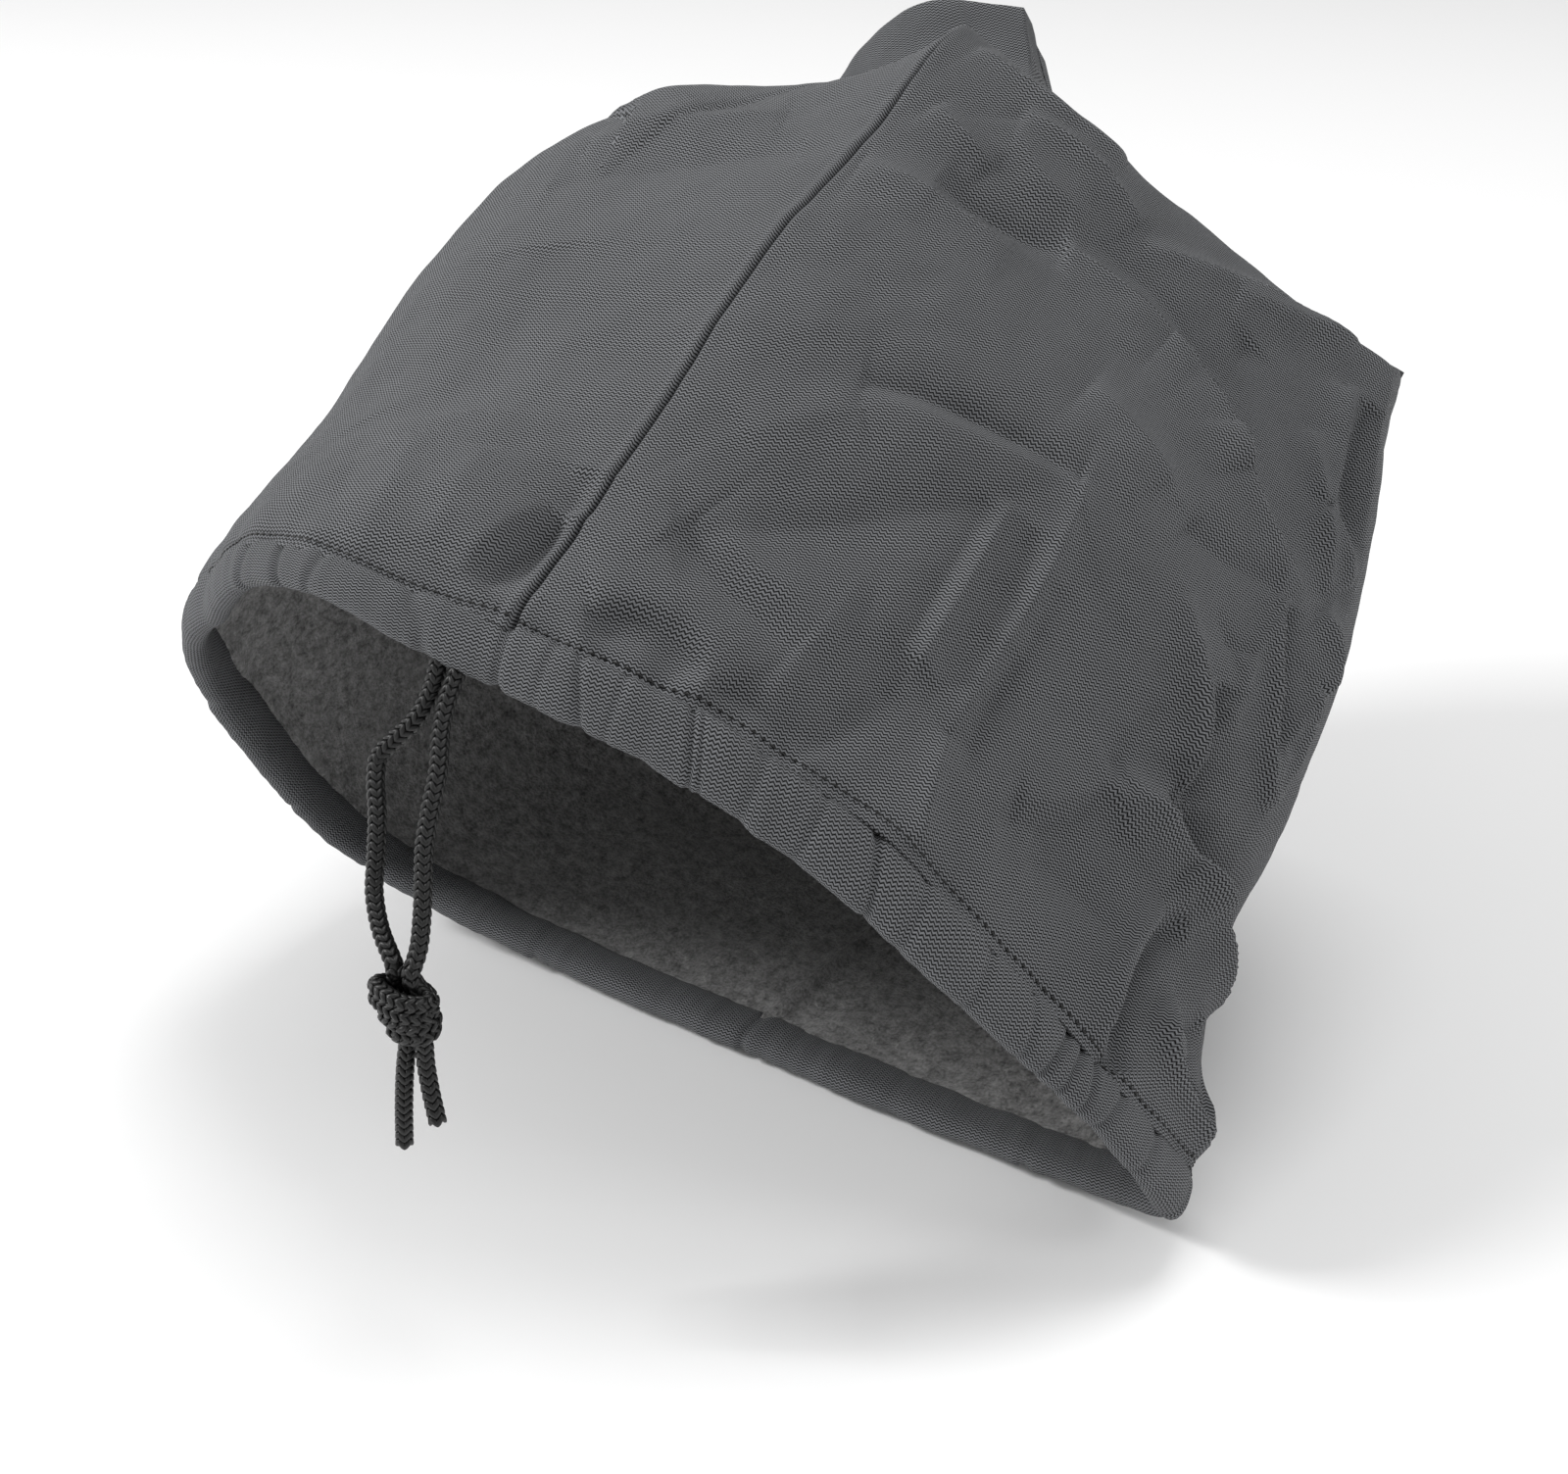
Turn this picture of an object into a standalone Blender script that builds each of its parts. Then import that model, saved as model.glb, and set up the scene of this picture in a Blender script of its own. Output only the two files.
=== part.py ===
"""Drawcord bag, in the shape its cloth takes when pulled over a rounded form, mouth forward and down."""
import math

import bmesh
import bpy
import numpy as np

for item in list(bpy.data.objects):
    bpy.data.objects.remove(item, do_unlink=True)

# Sizes in metres
BAG_WIDTH = 0.350
BAG_REACH = 0.330
BAG_RISE = 0.315
CLOTH_WALL = 0.0015
LINING_WALL = 0.0016
GAP = 0.0003
HEM_HEIGHT = 0.018
HEM_THICKNESS = 0.009
HEM_WALL = 0.0012
CORD_DIAMETER = 0.005
LAYERS = (0.0, CLOTH_WALL, CLOTH_WALL + GAP, CLOTH_WALL + GAP + LINING_WALL)
KNOT_WIDTH = 0.0210
KNOT_HEIGHT = 0.0165
KNOT_DEPTH = 0.0135

# Where the cord leaves the channel, as a share of the way round, and the half size of that opening
OPENING_AT = -0.0116
OPENING_HALF = 0.0060
SEAT_AT = 0.40

# Sections from the mouth to the closed end
# at: share of the way to the closed end; x as a share of width, y of reach, z of rise
# left_at, right_at: how far down the section its widest point lies
# the four powers square off (above 2) or flatten (below 2) the quarters
# left_drop, right_drop: how much the sides hang below the middle; right_swell: rise beside the seam
SECTION_COLUMNS = (
    "at", "centre_x", "front_y", "front_z", "rear_y", "rear_z", "left_width", "left_at", "right_width",
    "right_at", "front_left", "rear_left", "front_right", "rear_right", "left_drop", "right_drop",
    "right_swell")
SECTIONS = [
    (0.00, 0.000, -0.367, 0.575, -0.048, 0.006, 0.466, 0.87, 0.494, 0.66,
     1.38, 4.0, 2.90, 3.0, 0.000, 0.000, 0.11),
    (0.05, 0.000, -0.342, 0.622, 0.006, 0.006, 0.457, 0.85, 0.506, 0.64,
     1.40, 3.7, 2.90, 3.0, 0.000, 0.000, 0.09),
    (0.19, 0.000, -0.176, 0.730, 0.182, 0.006, 0.411, 0.68, 0.511, 0.60,
     1.52, 2.5, 2.90, 3.0, 0.000, 0.000, 0.02),
    (0.38, 0.000, 0.015, 0.860, 0.379, 0.010, 0.420, 0.55, 0.506, 0.48,
     1.45, 1.9, 2.90, 2.6, 0.000, 0.000, 0.00),
    (0.53, 0.000, 0.170, 0.927, 0.521, 0.127, 0.406, 0.52, 0.469, 0.42,
     1.25, 1.9, 3.10, 2.4, 0.000, 0.013, -0.01),
    (0.68, 0.000, 0.327, 0.997, 0.594, 0.349, 0.377, 0.50, 0.420, 0.42,
     1.00, 2.0, 1.25, 2.2, 0.000, 0.057, -0.07),
    (0.78, -0.034, 0.412, 0.921, 0.624, 0.540, 0.400, 0.50, 0.354, 0.50,
     0.95, 2.0, 1.15, 2.0, 0.057, 0.092, -0.06),
    (0.92, -0.120, 0.561, 0.914, 0.636, 0.762, 0.457, 0.50, 0.254, 0.50,
     1.20, 2.0, 1.80, 2.0, 0.212, 0.143, 0.00),
    (1.00, -0.154, 0.600, 0.965, 0.639, 0.924, 0.491, 0.50, 0.200, 0.50,
     2.00, 2.0, 2.00, 2.0, 0.311, 0.180, 0.00),
]
# END_SPREAD thickens the steps between the layers towards the closed end, where the sections run aslant
END_SPREAD = 1.1
# LEFT_FLAT is the level stretch beside the peak, eased into the drop; the bends say how the drop grows
LEFT_FLAT = 0.14
LEFT_EASE = 0.06
LEFT_BEND = 0.64
RIGHT_BEND = 2.3

# Folds that stand out of the cloth: two ends in shares round and up, height and half width in metres
FOLD_COLUMNS = ("round_1", "up_1", "round_2", "up_2", "height", "half_width")
FOLDS = [
    (0.083, 0.552, 0.168, 0.522, -0.0035, 0.012),
    (0.168, 0.522, 0.217, 0.460, -0.0035, 0.012),
    (0.217, 0.460, 0.232, 0.415, -0.0030, 0.012),
    (0.105, 0.500, 0.180, 0.460, 0.0030, 0.014),
    (0.031, 0.623, 0.086, 0.615, -0.0040, 0.010),
    (0.047, 0.312, 0.089, 0.355, -0.0025, 0.012),
    (0.024, 0.147, 0.074, 0.135, -0.0030, 0.014),
    (0.108, 0.238, 0.082, 0.088, -0.0030, 0.011),
    (0.125, 0.270, 0.121, 0.075, 0.0035, 0.013),
    (0.125, 0.372, 0.211, 0.463, 0.0025, 0.014),
    (0.181, 0.220, 0.250, 0.200, 0.0050, 0.012),
    (0.203, 0.230, 0.215, 0.400, -0.0045, 0.012),
    (0.230, 0.240, 0.235, 0.420, 0.0035, 0.012),
    (0.215, 0.115, 0.250, 0.060, 0.0035, 0.010),
    (-0.010, 0.100, -0.014, 0.200, -0.0030, 0.016),
    (-0.130, 0.200, -0.100, 0.480, -0.0025, 0.020),
    (-0.220, 0.610, -0.110, 0.560, 0.0060, 0.030),
]

# Cord points from the middle of the opening, in metres; each list runs on between the opening and the knot
STRAND_LEFT = [
    (0.0032, -0.0040, -0.0060), (0.0045, -0.0095, -0.0140), (0.0078, -0.0150, -0.0225),
    (0.0094, -0.0205, -0.0310), (0.0110, -0.0255, -0.0395), (0.0132, -0.0292, -0.0480),
    (0.0152, -0.0328, -0.0565), (0.0166, -0.0366, -0.0640)]
STRAND_RIGHT = [
    (-0.0028, -0.0040, -0.0060), (-0.0042, -0.0090, -0.0132), (-0.0092, -0.0134, -0.0198),
    (-0.0122, -0.0164, -0.0242), (-0.0106, -0.0200, -0.0298), (-0.0072, -0.0236, -0.0356),
    (-0.0042, -0.0284, -0.0460), (-0.0022, -0.0322, -0.0550), (0.0024, -0.0358, -0.0616)]
KNOT_CENTRE = (0.0145, -0.0405, -0.0790)
TAIL_LEFT = [(0.0201, -0.0408, -0.0950), (0.0216, -0.0416, -0.1020), (0.0240, -0.0424, -0.1110)]
TAIL_RIGHT = [(0.0140, -0.0420, -0.0960), (0.0134, -0.0436, -0.1090), (0.0130, -0.0446, -0.1230)]
# Where the cord meets the knot, left of its middle: the two strands above, the two tails below
STRANDS_MEET = (0.0029, -0.0029)
TAILS_MEET = (0.0054, -0.0004)


def spline(rows, at):
    """Smooth values of every column between the table's rows."""
    t = np.array([row[0] for row in rows])
    a = np.array([row[1:] for row in rows])
    h = np.diff(t)
    slope = np.diff(a, axis=0) / h[:, None]
    inner = (slope[:-1] * h[1:, None] + slope[1:] * h[:-1, None]) / (h[1:] + h[:-1])[:, None]
    m = np.vstack([slope[:1], inner, slope[-1:]])
    at = np.clip(at, t[0], t[-1])
    k = np.clip(np.searchsorted(t, at, side="right") - 1, 0, len(t) - 2)
    s = ((at - t[k]) / h[k])[..., None]
    hk = h[k][..., None]
    return ((2 * s**3 - 3 * s**2 + 1) * a[k] + (s**3 - 2 * s**2 + s) * hk * m[k]
            + (3 * s**2 - 2 * s**3) * a[k + 1] + (s**3 - s**2) * hk * m[k + 1])


def skin(around, up, inset=0.0):
    """Point of the smooth bag, drawn in by inset along its section; around is 0 at the front seam."""
    around, up = np.broadcast_arrays(np.asarray(around, float), np.asarray(up, float))
    row = dict(zip(SECTION_COLUMNS[1:], np.moveaxis(spline(SECTIONS, up), -1, 0)))
    angle = 2 * math.pi * around
    s, c = np.sin(angle), np.cos(angle)
    left, front = s >= 0, c >= 0
    front_y, front_z = row["front_y"] * BAG_REACH, row["front_z"] * BAG_RISE
    rear_y, rear_z = row["rear_y"] * BAG_REACH, row["rear_z"] * BAG_RISE
    length = np.hypot(rear_y - front_y, rear_z - front_z)
    spread = np.clip((up - 0.50) / 0.35, 0, 1)
    inset = inset * (1 + END_SPREAD * spread**2 * (3 - 2 * spread))
    step = inset / length
    width = np.where(left, row["left_width"], row["right_width"]) * BAG_WIDTH - inset
    at = np.where(left, row["left_at"], row["right_at"])
    power = np.where(left, np.where(front, row["front_left"], row["rear_left"]),
                     np.where(front, row["front_right"], row["rear_right"]))
    power = np.maximum(power, 0.85)
    r = (np.abs(s) ** power + np.abs(c) ** power) ** (-1 / power)
    t = np.abs(r * s)
    along = np.where(front, at - (at - step) * r * c, at - (1 - at - step) * r * c)
    along = along - np.where(~left & front, row["right_swell"] * np.sin(math.pi * np.minimum(t / 0.72, 1)), 0)
    past_flat = np.maximum(t - LEFT_FLAT, 0) / (1 - LEFT_FLAT)
    left_share = past_flat * ((1 + LEFT_EASE) / (past_flat + LEFT_EASE)) ** (1 - LEFT_BEND)
    drop = np.where(left, row["left_drop"] * left_share, row["right_drop"] * t**RIGHT_BEND) * BAG_RISE
    x = row["centre_x"] * BAG_WIDTH + width * r * s
    y = front_y + (rear_y - front_y) * along
    z = front_z + (rear_z - front_z) * along - drop
    return np.stack([x, y, z], -1)


def outward(around, up):
    """Unit vector out of the smooth bag."""
    step = 0.002
    a = skin(around + step, up) - skin(around - step, up)
    b = skin(around, np.clip(up + step, 0, 1)) - skin(around, np.clip(up - step, 0, 1))
    n = np.cross(a, b)
    return n / np.linalg.norm(n, axis=-1, keepdims=True)


def fold_height(around, up):
    """Height of all folds at a point of the bag."""
    points = skin(around, up)
    total = np.zeros(points.shape[:-1])
    for fold in FOLDS:
        row = dict(zip(FOLD_COLUMNS, fold))
        t = np.linspace(0, 1, 9)
        line = skin(row["round_1"] + (row["round_2"] - row["round_1"]) * t,
                    row["up_1"] + (row["up_2"] - row["up_1"]) * t)
        near = np.linalg.norm(points[..., None, :] - line, axis=-1).min(-1)
        total += row["height"] * np.exp(-(near / row["half_width"]) ** 2)
    return total


def cloth(around, up, inset=0.0):
    """Point of the folded bag."""
    return skin(around, up, inset) + outward(around, up) * fold_height(around, up)[..., None]


# Channel round the mouth: where its middle lies, and the angles of its section's corners
HEM_MIDDLE = 0.026
SECTION_ANGLES = (0, 36, 70, 100, 128, 180, 232, 260, 290, 324)


def hem_frame(around):
    """Centre, direction towards the closed end and outward direction of the channel."""
    around = np.asarray(around, float)
    up = np.full(around.shape, HEM_MIDDLE)
    n = outward(around, up)
    rise = skin(around, up + 0.01) - skin(around, up - 0.01)
    rise = rise - n * (rise * n).sum(-1, keepdims=True)
    speed = np.linalg.norm(rise, axis=-1, keepdims=True)
    middle = skin(around, up) - n * (HEM_THICKNESS / 2 - CLOTH_WALL)
    return middle, rise / speed, n, speed[..., 0] / 0.02


def hem_ring(around, wall):
    """Points round the channel's section, drawn in by wall."""
    middle, rise, n, _ = hem_frame(around)
    angle = np.radians(SECTION_ANGLES)
    c, s = np.cos(angle), np.sin(angle)
    r = (np.abs(c) ** 2.5 + np.abs(s) ** 2.5) ** -0.4
    high = (HEM_HEIGHT / 2 - wall) * r * c
    deep = (HEM_THICKNESS / 2 - wall) * r * s
    return middle[:, None, :] + rise[:, None, :] * high[:, None] + n[:, None, :] * deep[:, None]


def panel_start(around):
    """Share where the panels begin, just above the channel."""
    around = np.asarray(around, float)
    middle, rise, _, speed = hem_frame(around)
    wanted = HEM_HEIGHT / 2 + 5 * GAP
    up = HEM_MIDDLE + wanted / speed
    for _ in range(8):
        least = np.min([((cloth(around, up, inset) - middle) * rise).sum(-1) for inset in LAYERS], axis=0)
        up = up + (wanted - least) / speed
    return up


# Objects
def add(name, verts, faces, colour, roughness=0.9):
    """One closed body with its own material, outward normals."""
    mesh = bpy.data.meshes.new(name)
    mesh.from_pydata([tuple(map(float, v)) for v in verts], [], faces)
    bm = bmesh.new()
    bm.from_mesh(mesh)
    bmesh.ops.remove_doubles(bm, verts=bm.verts, dist=1e-6)
    bmesh.ops.recalc_face_normals(bm, faces=bm.faces)
    if bm.calc_volume(signed=True) < 0:
        bmesh.ops.reverse_faces(bm, faces=bm.faces)
    bm.to_mesh(mesh)
    bm.free()
    item = bpy.data.objects.new(name, mesh)
    bpy.context.scene.collection.objects.link(item)
    paint(item, name, colour, roughness)
    return item


def paint(item, name, colour, roughness):
    """Give the object its own plain material."""
    material = bpy.data.materials.new(name)
    material.use_nodes = True
    shader = material.node_tree.nodes["Principled BSDF"]
    shader.inputs["Base Color"].default_value = (*colour, 1)
    shader.inputs["Roughness"].default_value = roughness
    item.data.materials.clear()
    item.data.materials.append(material)


class Net:
    """Collects points and triangles of one body."""

    def __init__(self):
        self.verts = []
        self.faces = []

    def grid(self, points, closed=False, skip=()):
        """Points (rows, columns, 3); returns their numbers."""
        rows, columns = points.shape[:2]
        first = len(self.verts)
        self.verts.extend(points.reshape(-1, 3))
        number = first + np.arange(rows * columns).reshape(rows, columns)
        for i in range(rows - 1):
            for j in range(columns if closed else columns - 1):
                if (i, j) not in skip:
                    k = (j + 1) % columns
                    self.quad(number[i, j], number[i + 1, j], number[i + 1, k], number[i, k])
        return number

    def quad(self, a, b, c, d):
        self.faces.append((int(a), int(b), int(c)))
        self.faces.append((int(a), int(c), int(d)))

    def strip(self, one, two):
        """Join two lines of numbers of the same length."""
        for k in range(len(one) - 1):
            self.quad(one[k], one[k + 1], two[k + 1], two[k])


# Panels and lining share these steps, so that facing layers keep an even gap
LEFT_STEPS = [0, 0.022, 0.044, 0.066, 0.086, 0.106, 0.124, 0.142, 0.160, 0.178, 0.196, 0.212,
              0.228, 0.25, 0.266, 0.285, 0.302, 0.32, 0.36, 0.41, 0.455, 0.5]
RIGHT_STEPS = [0.5, 0.545, 0.59, 0.64, 0.685, 0.72, 0.75, 0.78, 0.81, 0.84, 0.87, 0.90, 0.93,
               0.955, 0.978, 1.0]
UP_STEPS = [0, 0.04, 0.08, 0.12, 0.165, 0.21, 0.255, 0.30, 0.345, 0.39, 0.435, 0.48, 0.53, 0.58,
            0.64, 0.69, 0.75, 0.82, 0.88, 0.95, 1.0]


def layer(around, inset, rows, short=0.0, side=0.0):
    """Grid of points of one face of the cloth, from above the channel up the given count of rows."""
    a = np.array(around)[:, None]
    start = panel_start(np.array(around))[:, None]
    up = start + (1 - start) * np.array(UP_STEPS[:rows])[None, :]
    up[:, -1] -= short
    points = cloth(a + 0 * up, up, inset)
    points[..., 0] += side
    return points


def blunt(points, column, first_row):
    """Round off the tip of a corner from the given row on, so that an inner layer stays clear of it."""
    beside = (points[column - 1, first_row:] + points[column + 1, first_row:]) / 2
    points[column, first_row:] = 0.2 * points[column, first_row:] + 0.8 * beside
    return points


def panel(around, side):
    """Half of the outer cloth, a closed wall."""
    net = Net()
    outer = net.grid(layer(around, LAYERS[0], len(UP_STEPS), side=side))
    inner = net.grid(layer(around, LAYERS[1], len(UP_STEPS), short=0.011, side=side))
    net.strip(outer[:, 0], inner[:, 0])
    for edge in (0, -1):
        net.strip(outer[edge, :], inner[edge, :])
    return net, outer, inner


def slit(net, line, split):
    """Close a half loop at the closed end with a zigzag between its front and rear parts."""
    front = list(line[:split + 1])
    rear = list(line[split:])[::-1]
    i = j = 0
    while i < len(front) - 1 or j < len(rear) - 1:
        even = (i + 1) / (len(front) - 1) <= (j + 1) / (len(rear) - 1)
        if j == len(rear) - 1 or (i < len(front) - 1 and even):
            if front[i + 1] != rear[j]:
                net.faces.append((int(front[i]), int(front[i + 1]), int(rear[j])))
            i += 1
        else:
            if rear[j + 1] != front[i]:
                net.faces.append((int(front[i]), int(rear[j + 1]), int(rear[j])))
            j += 1


def shell(name, around, split, side, colour):
    """One outer panel with its closed end."""
    net, outer, inner = panel(around, side)
    slit(net, outer[:, -1], split)
    slit(net, inner[:, -1], split)
    front, rear = (0, -1) if around[0] == 0 else (-1, 0)
    net.quad(outer[front, -1], outer[rear, -1], inner[rear, -1], inner[front, -1])
    return add(name, net.verts, net.faces, colour)


CLOTH_COLOUR = (0.050, 0.050, 0.054)
shell("shell_left", LEFT_STEPS, LEFT_STEPS.index(0.25), GAP / 2, CLOTH_COLOUR)
shell("shell_right", RIGHT_STEPS, RIGHT_STEPS.index(0.75), -GAP / 2, CLOTH_COLOUR)

# Lining, one cup inside both panels
net = Net()
steps = LEFT_STEPS + RIGHT_STEPS[1:-1]
tips = (steps.index(0.25), steps.index(0.75))
faces = []
for inset, short in ((LAYERS[2], 0.0), (LAYERS[3], 0.008)):
    points = layer(steps, inset, len(UP_STEPS) - 2, short=short)
    for tip in tips:
        points = blunt(points, tip, len(UP_STEPS) - 6)
    faces.append(net.grid(points.transpose(1, 0, 2), closed=True))
outer, inner = faces
around_loop = np.append(np.arange(len(steps)), 0)
net.strip(outer[0, around_loop], inner[0, around_loop])
left, right = tips
turn = np.roll(np.arange(len(steps)), -right)
for loop in (outer[-1], inner[-1]):
    line = np.append(loop[turn], loop[turn[0]])
    slit(net, line, (left - right) % len(steps))
add("lining", net.verts, net.faces, (0.075, 0.075, 0.078), 1.0)


# Channel halves
def hem(name, around, side, colour, opening=()):
    """Hollow channel, open at both ends; opening names the steps that the cord leaves between."""
    net = Net()
    around = np.array(around)
    skip = [(i, j) for i in opening for j in (4, 5)]
    rings = []
    for wall in (0.0, HEM_WALL):
        points = hem_ring(around, wall)
        points[..., 0] += side
        rings.append(net.grid(points, closed=True, skip=skip))
    outer, inner = rings
    loop = list(range(len(SECTION_ANGLES))) + [0]
    for edge in (0, -1):
        net.strip(outer[edge, loop], inner[edge, loop])
    if opening:
        low, high = opening[0], opening[-1] + 1
        edge = [(low, 4), (low, 5), (low, 6)] + [(high, 6), (high, 5), (high, 4)] + [(low, 4)]
        net.strip([outer[p] for p in edge], [inner[p] for p in edge])
    return add(name, net.verts, net.faces, colour)


ROUND_SPEED = 2 * math.pi * SECTIONS[0][8] * BAG_WIDTH
opening_low = 1 + OPENING_AT - OPENING_HALF / ROUND_SPEED
opening_high = 1 + OPENING_AT + OPENING_HALF / ROUND_SPEED
HEM_LEFT = sorted(LEFT_STEPS + [0.239, 0.34])
HEM_RIGHT = [0.5, 0.53, 0.57, 0.61, 0.645, 0.675, 0.70, 0.72, 0.74, 0.76, 0.78, 0.80, 0.82, 0.84,
             0.86, 0.88, 0.90, 0.92, 0.94, 0.96, 0.973, opening_low, opening_high, 1.0]
hem("hem_left", HEM_LEFT, GAP / 2, CLOTH_COLOUR)
hem("hem_right", HEM_RIGHT, -GAP / 2, CLOTH_COLOUR, opening=[HEM_RIGHT.index(opening_low)])

# Cord
CORD_COLOUR = (0.012, 0.012, 0.013)


def smooth_path(points, count):
    """Smooth curve through the points, evenly spaced."""
    p = np.array(points)
    reach = np.concatenate([[0], np.cumsum(np.linalg.norm(np.diff(p, axis=0), axis=1))])
    rows = [(reach[k] / reach[-1], *p[k]) for k in range(len(p))]
    fine = spline(rows, np.linspace(0, 1, 400))
    reach = np.concatenate([[0], np.cumsum(np.linalg.norm(np.diff(fine, axis=0), axis=1))])
    even = np.linspace(0, reach[-1], count)
    return np.stack([np.interp(even, reach, fine[:, k]) for k in range(3)], -1)


def cord(name, path, resolution=2):
    """Round tube along the path with flat ends."""
    curve = bpy.data.curves.new(name, "CURVE")
    curve.dimensions = "3D"
    curve.bevel_depth = CORD_DIAMETER / 2
    curve.bevel_resolution = resolution
    curve.use_fill_caps = True
    line = curve.splines.new("POLY")
    line.points.add(len(path) - 1)
    for point, place in zip(line.points, path):
        point.co = (*map(float, place), 1)
    item = bpy.data.objects.new(name, curve)
    bpy.context.scene.collection.objects.link(item)
    mesh = bpy.data.meshes.new_from_object(item.evaluated_get(bpy.context.evaluated_depsgraph_get()))
    bpy.data.objects.remove(item, do_unlink=True)
    add(name, [v.co for v in mesh.vertices], [tuple(f.vertices) for f in mesh.polygons], CORD_COLOUR, 0.6)


middle, rise, normal, _ = (value[0] for value in hem_frame(np.array([OPENING_AT])))
exit_point = middle - rise * HEM_HEIGHT / 2
sideways = np.cross(rise, normal)
knot_middle = exit_point + np.array(KNOT_CENTRE)
knot_end = np.array([0, 0, KNOT_HEIGHT / 2 + GAP])
straight = np.array([0, 0, CORD_DIAMETER / 2])
for name, points, side, meet in (("cord_strand_left", STRAND_LEFT, 1, STRANDS_MEET[0]),
                                 ("cord_strand_right", STRAND_RIGHT, -1, STRANDS_MEET[1])):
    beside = exit_point + sideways * side * (CORD_DIAMETER / 2 + GAP)
    path = [beside + rise * HEM_HEIGHT * 0.5, beside + rise * HEM_HEIGHT * 0.25, beside]
    path = path + [exit_point + np.array(p) for p in points]
    last = knot_middle + knot_end + np.array([meet, 0, 0])
    cord(name, np.vstack([smooth_path(path + [last + straight], 22), last]))
for name, points, meet in (("cord_tail_left", TAIL_LEFT, TAILS_MEET[0]),
                           ("cord_tail_right", TAIL_RIGHT, TAILS_MEET[1])):
    first = knot_middle - knot_end + np.array([meet, 0, 0])
    path = [first - straight] + [exit_point + np.array(p) for p in points]
    cord(name, np.vstack([first, smooth_path(path, 7)]))

# The hidden run starts and ends beside the two strands and turns where the channel's sections stand
run_clear = (OPENING_HALF + 0.003) / ROUND_SPEED
run_round = np.array([OPENING_AT + run_clear] + HEM_LEFT[1:] + HEM_RIGHT[1:HEM_RIGHT.index(opening_low)])
run_round = np.append(run_round, 1 + OPENING_AT - run_clear)
cord("cord_run", hem_frame(run_round)[0], 1)

# Knot, flat where the cord meets it, with grooves between the turns of cord
net = Net()
rows = []
for k in range(1, 12):
    tilt = math.pi * k / 12
    turn = np.linspace(0, 2 * math.pi, 24, endpoint=False)
    groove = 1 - 0.10 * np.abs(np.cos(1.5 * (tilt * 2 + turn)))
    reach = math.sin(tilt) ** 0.6
    height = math.copysign(abs(math.cos(tilt)) ** 0.4, math.cos(tilt)) if k != 6 else 0.0
    rows.append(np.stack([KNOT_WIDTH / 2 * reach * np.cos(turn) * groove,
                          KNOT_DEPTH / 2 * reach * np.sin(turn) * groove,
                          KNOT_HEIGHT / 2 * height * np.ones(24)], -1))
number = net.grid(np.array(rows) + knot_middle, closed=True)
for line, height in ((number[0], 1), (number[-1], -1)):
    pole = len(net.verts)
    net.verts.append(knot_middle + np.array([0, 0, height * KNOT_HEIGHT / 2]))
    for k in range(24):
        net.faces.append((int(line[k]), int(line[(k + 1) % 24]), pole))
add("cord_knot", net.verts, net.faces, CORD_COLOUR, 0.6)

# Put the seat, where the inner layer bears on what the bag covers, at the origin
seat = cloth(np.array(0.0), np.array(SEAT_AT), LAYERS[3])
for item in bpy.context.scene.objects:
    for vertex in item.data.vertices:
        vertex.co = [vertex.co[k] - float(seat[k]) for k in range(3)]
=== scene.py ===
import math

import bpy
import numpy as np
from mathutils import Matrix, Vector, noise


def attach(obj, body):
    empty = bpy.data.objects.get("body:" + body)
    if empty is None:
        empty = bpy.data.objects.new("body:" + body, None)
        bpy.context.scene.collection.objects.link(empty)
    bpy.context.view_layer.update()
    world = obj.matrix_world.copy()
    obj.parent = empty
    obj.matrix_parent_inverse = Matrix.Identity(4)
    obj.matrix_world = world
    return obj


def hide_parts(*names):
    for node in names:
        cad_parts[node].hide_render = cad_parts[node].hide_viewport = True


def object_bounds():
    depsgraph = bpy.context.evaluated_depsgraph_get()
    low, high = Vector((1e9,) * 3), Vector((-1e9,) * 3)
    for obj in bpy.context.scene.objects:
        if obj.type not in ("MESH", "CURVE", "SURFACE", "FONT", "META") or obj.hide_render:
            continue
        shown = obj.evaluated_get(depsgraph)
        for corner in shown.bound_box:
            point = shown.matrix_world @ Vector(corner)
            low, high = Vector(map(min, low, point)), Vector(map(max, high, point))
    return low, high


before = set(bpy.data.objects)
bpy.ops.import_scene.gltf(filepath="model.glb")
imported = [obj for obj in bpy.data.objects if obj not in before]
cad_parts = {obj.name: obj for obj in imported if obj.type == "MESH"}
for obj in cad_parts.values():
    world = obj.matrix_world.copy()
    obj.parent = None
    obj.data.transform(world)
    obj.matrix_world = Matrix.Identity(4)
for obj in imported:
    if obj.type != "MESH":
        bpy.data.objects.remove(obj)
cad_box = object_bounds()

# Sizes in metres, as the solids have them, but for LEFT_BEND: there it is 0.64, and the closed end sags less
BAG_WIDTH = 0.350
BAG_REACH = 0.330
BAG_RISE = 0.315
CLOTH_WALL = 0.0015
LINING_WALL = 0.0016
GAP = 0.0003
HEM_HEIGHT = 0.018
HEM_THICKNESS = 0.009
HEM_MIDDLE = 0.026
CORD_DIAMETER = 0.005
KNOT_HEIGHT = 0.0165
LAYERS = (0.0, CLOTH_WALL, CLOTH_WALL + GAP, CLOTH_WALL + GAP + LINING_WALL)
OPENING_AT = -0.0116
SEAT_AT = 0.40
END_SPREAD = 1.1
LEFT_FLAT = 0.14
LEFT_EASE = 0.06
LEFT_BEND = 0.32
RIGHT_BEND = 2.3

# Camera: degrees round and up, metres from its target and millimetres of lens; the target is in the sections' frame
CAMERA_ROUND = 35.0
CAMERA_UP = 28.0
CAMERA_AWAY = 0.700
CAMERA_TARGET = (0.0, 0.010, 0.110)
CAMERA_LENS = 50.6

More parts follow.
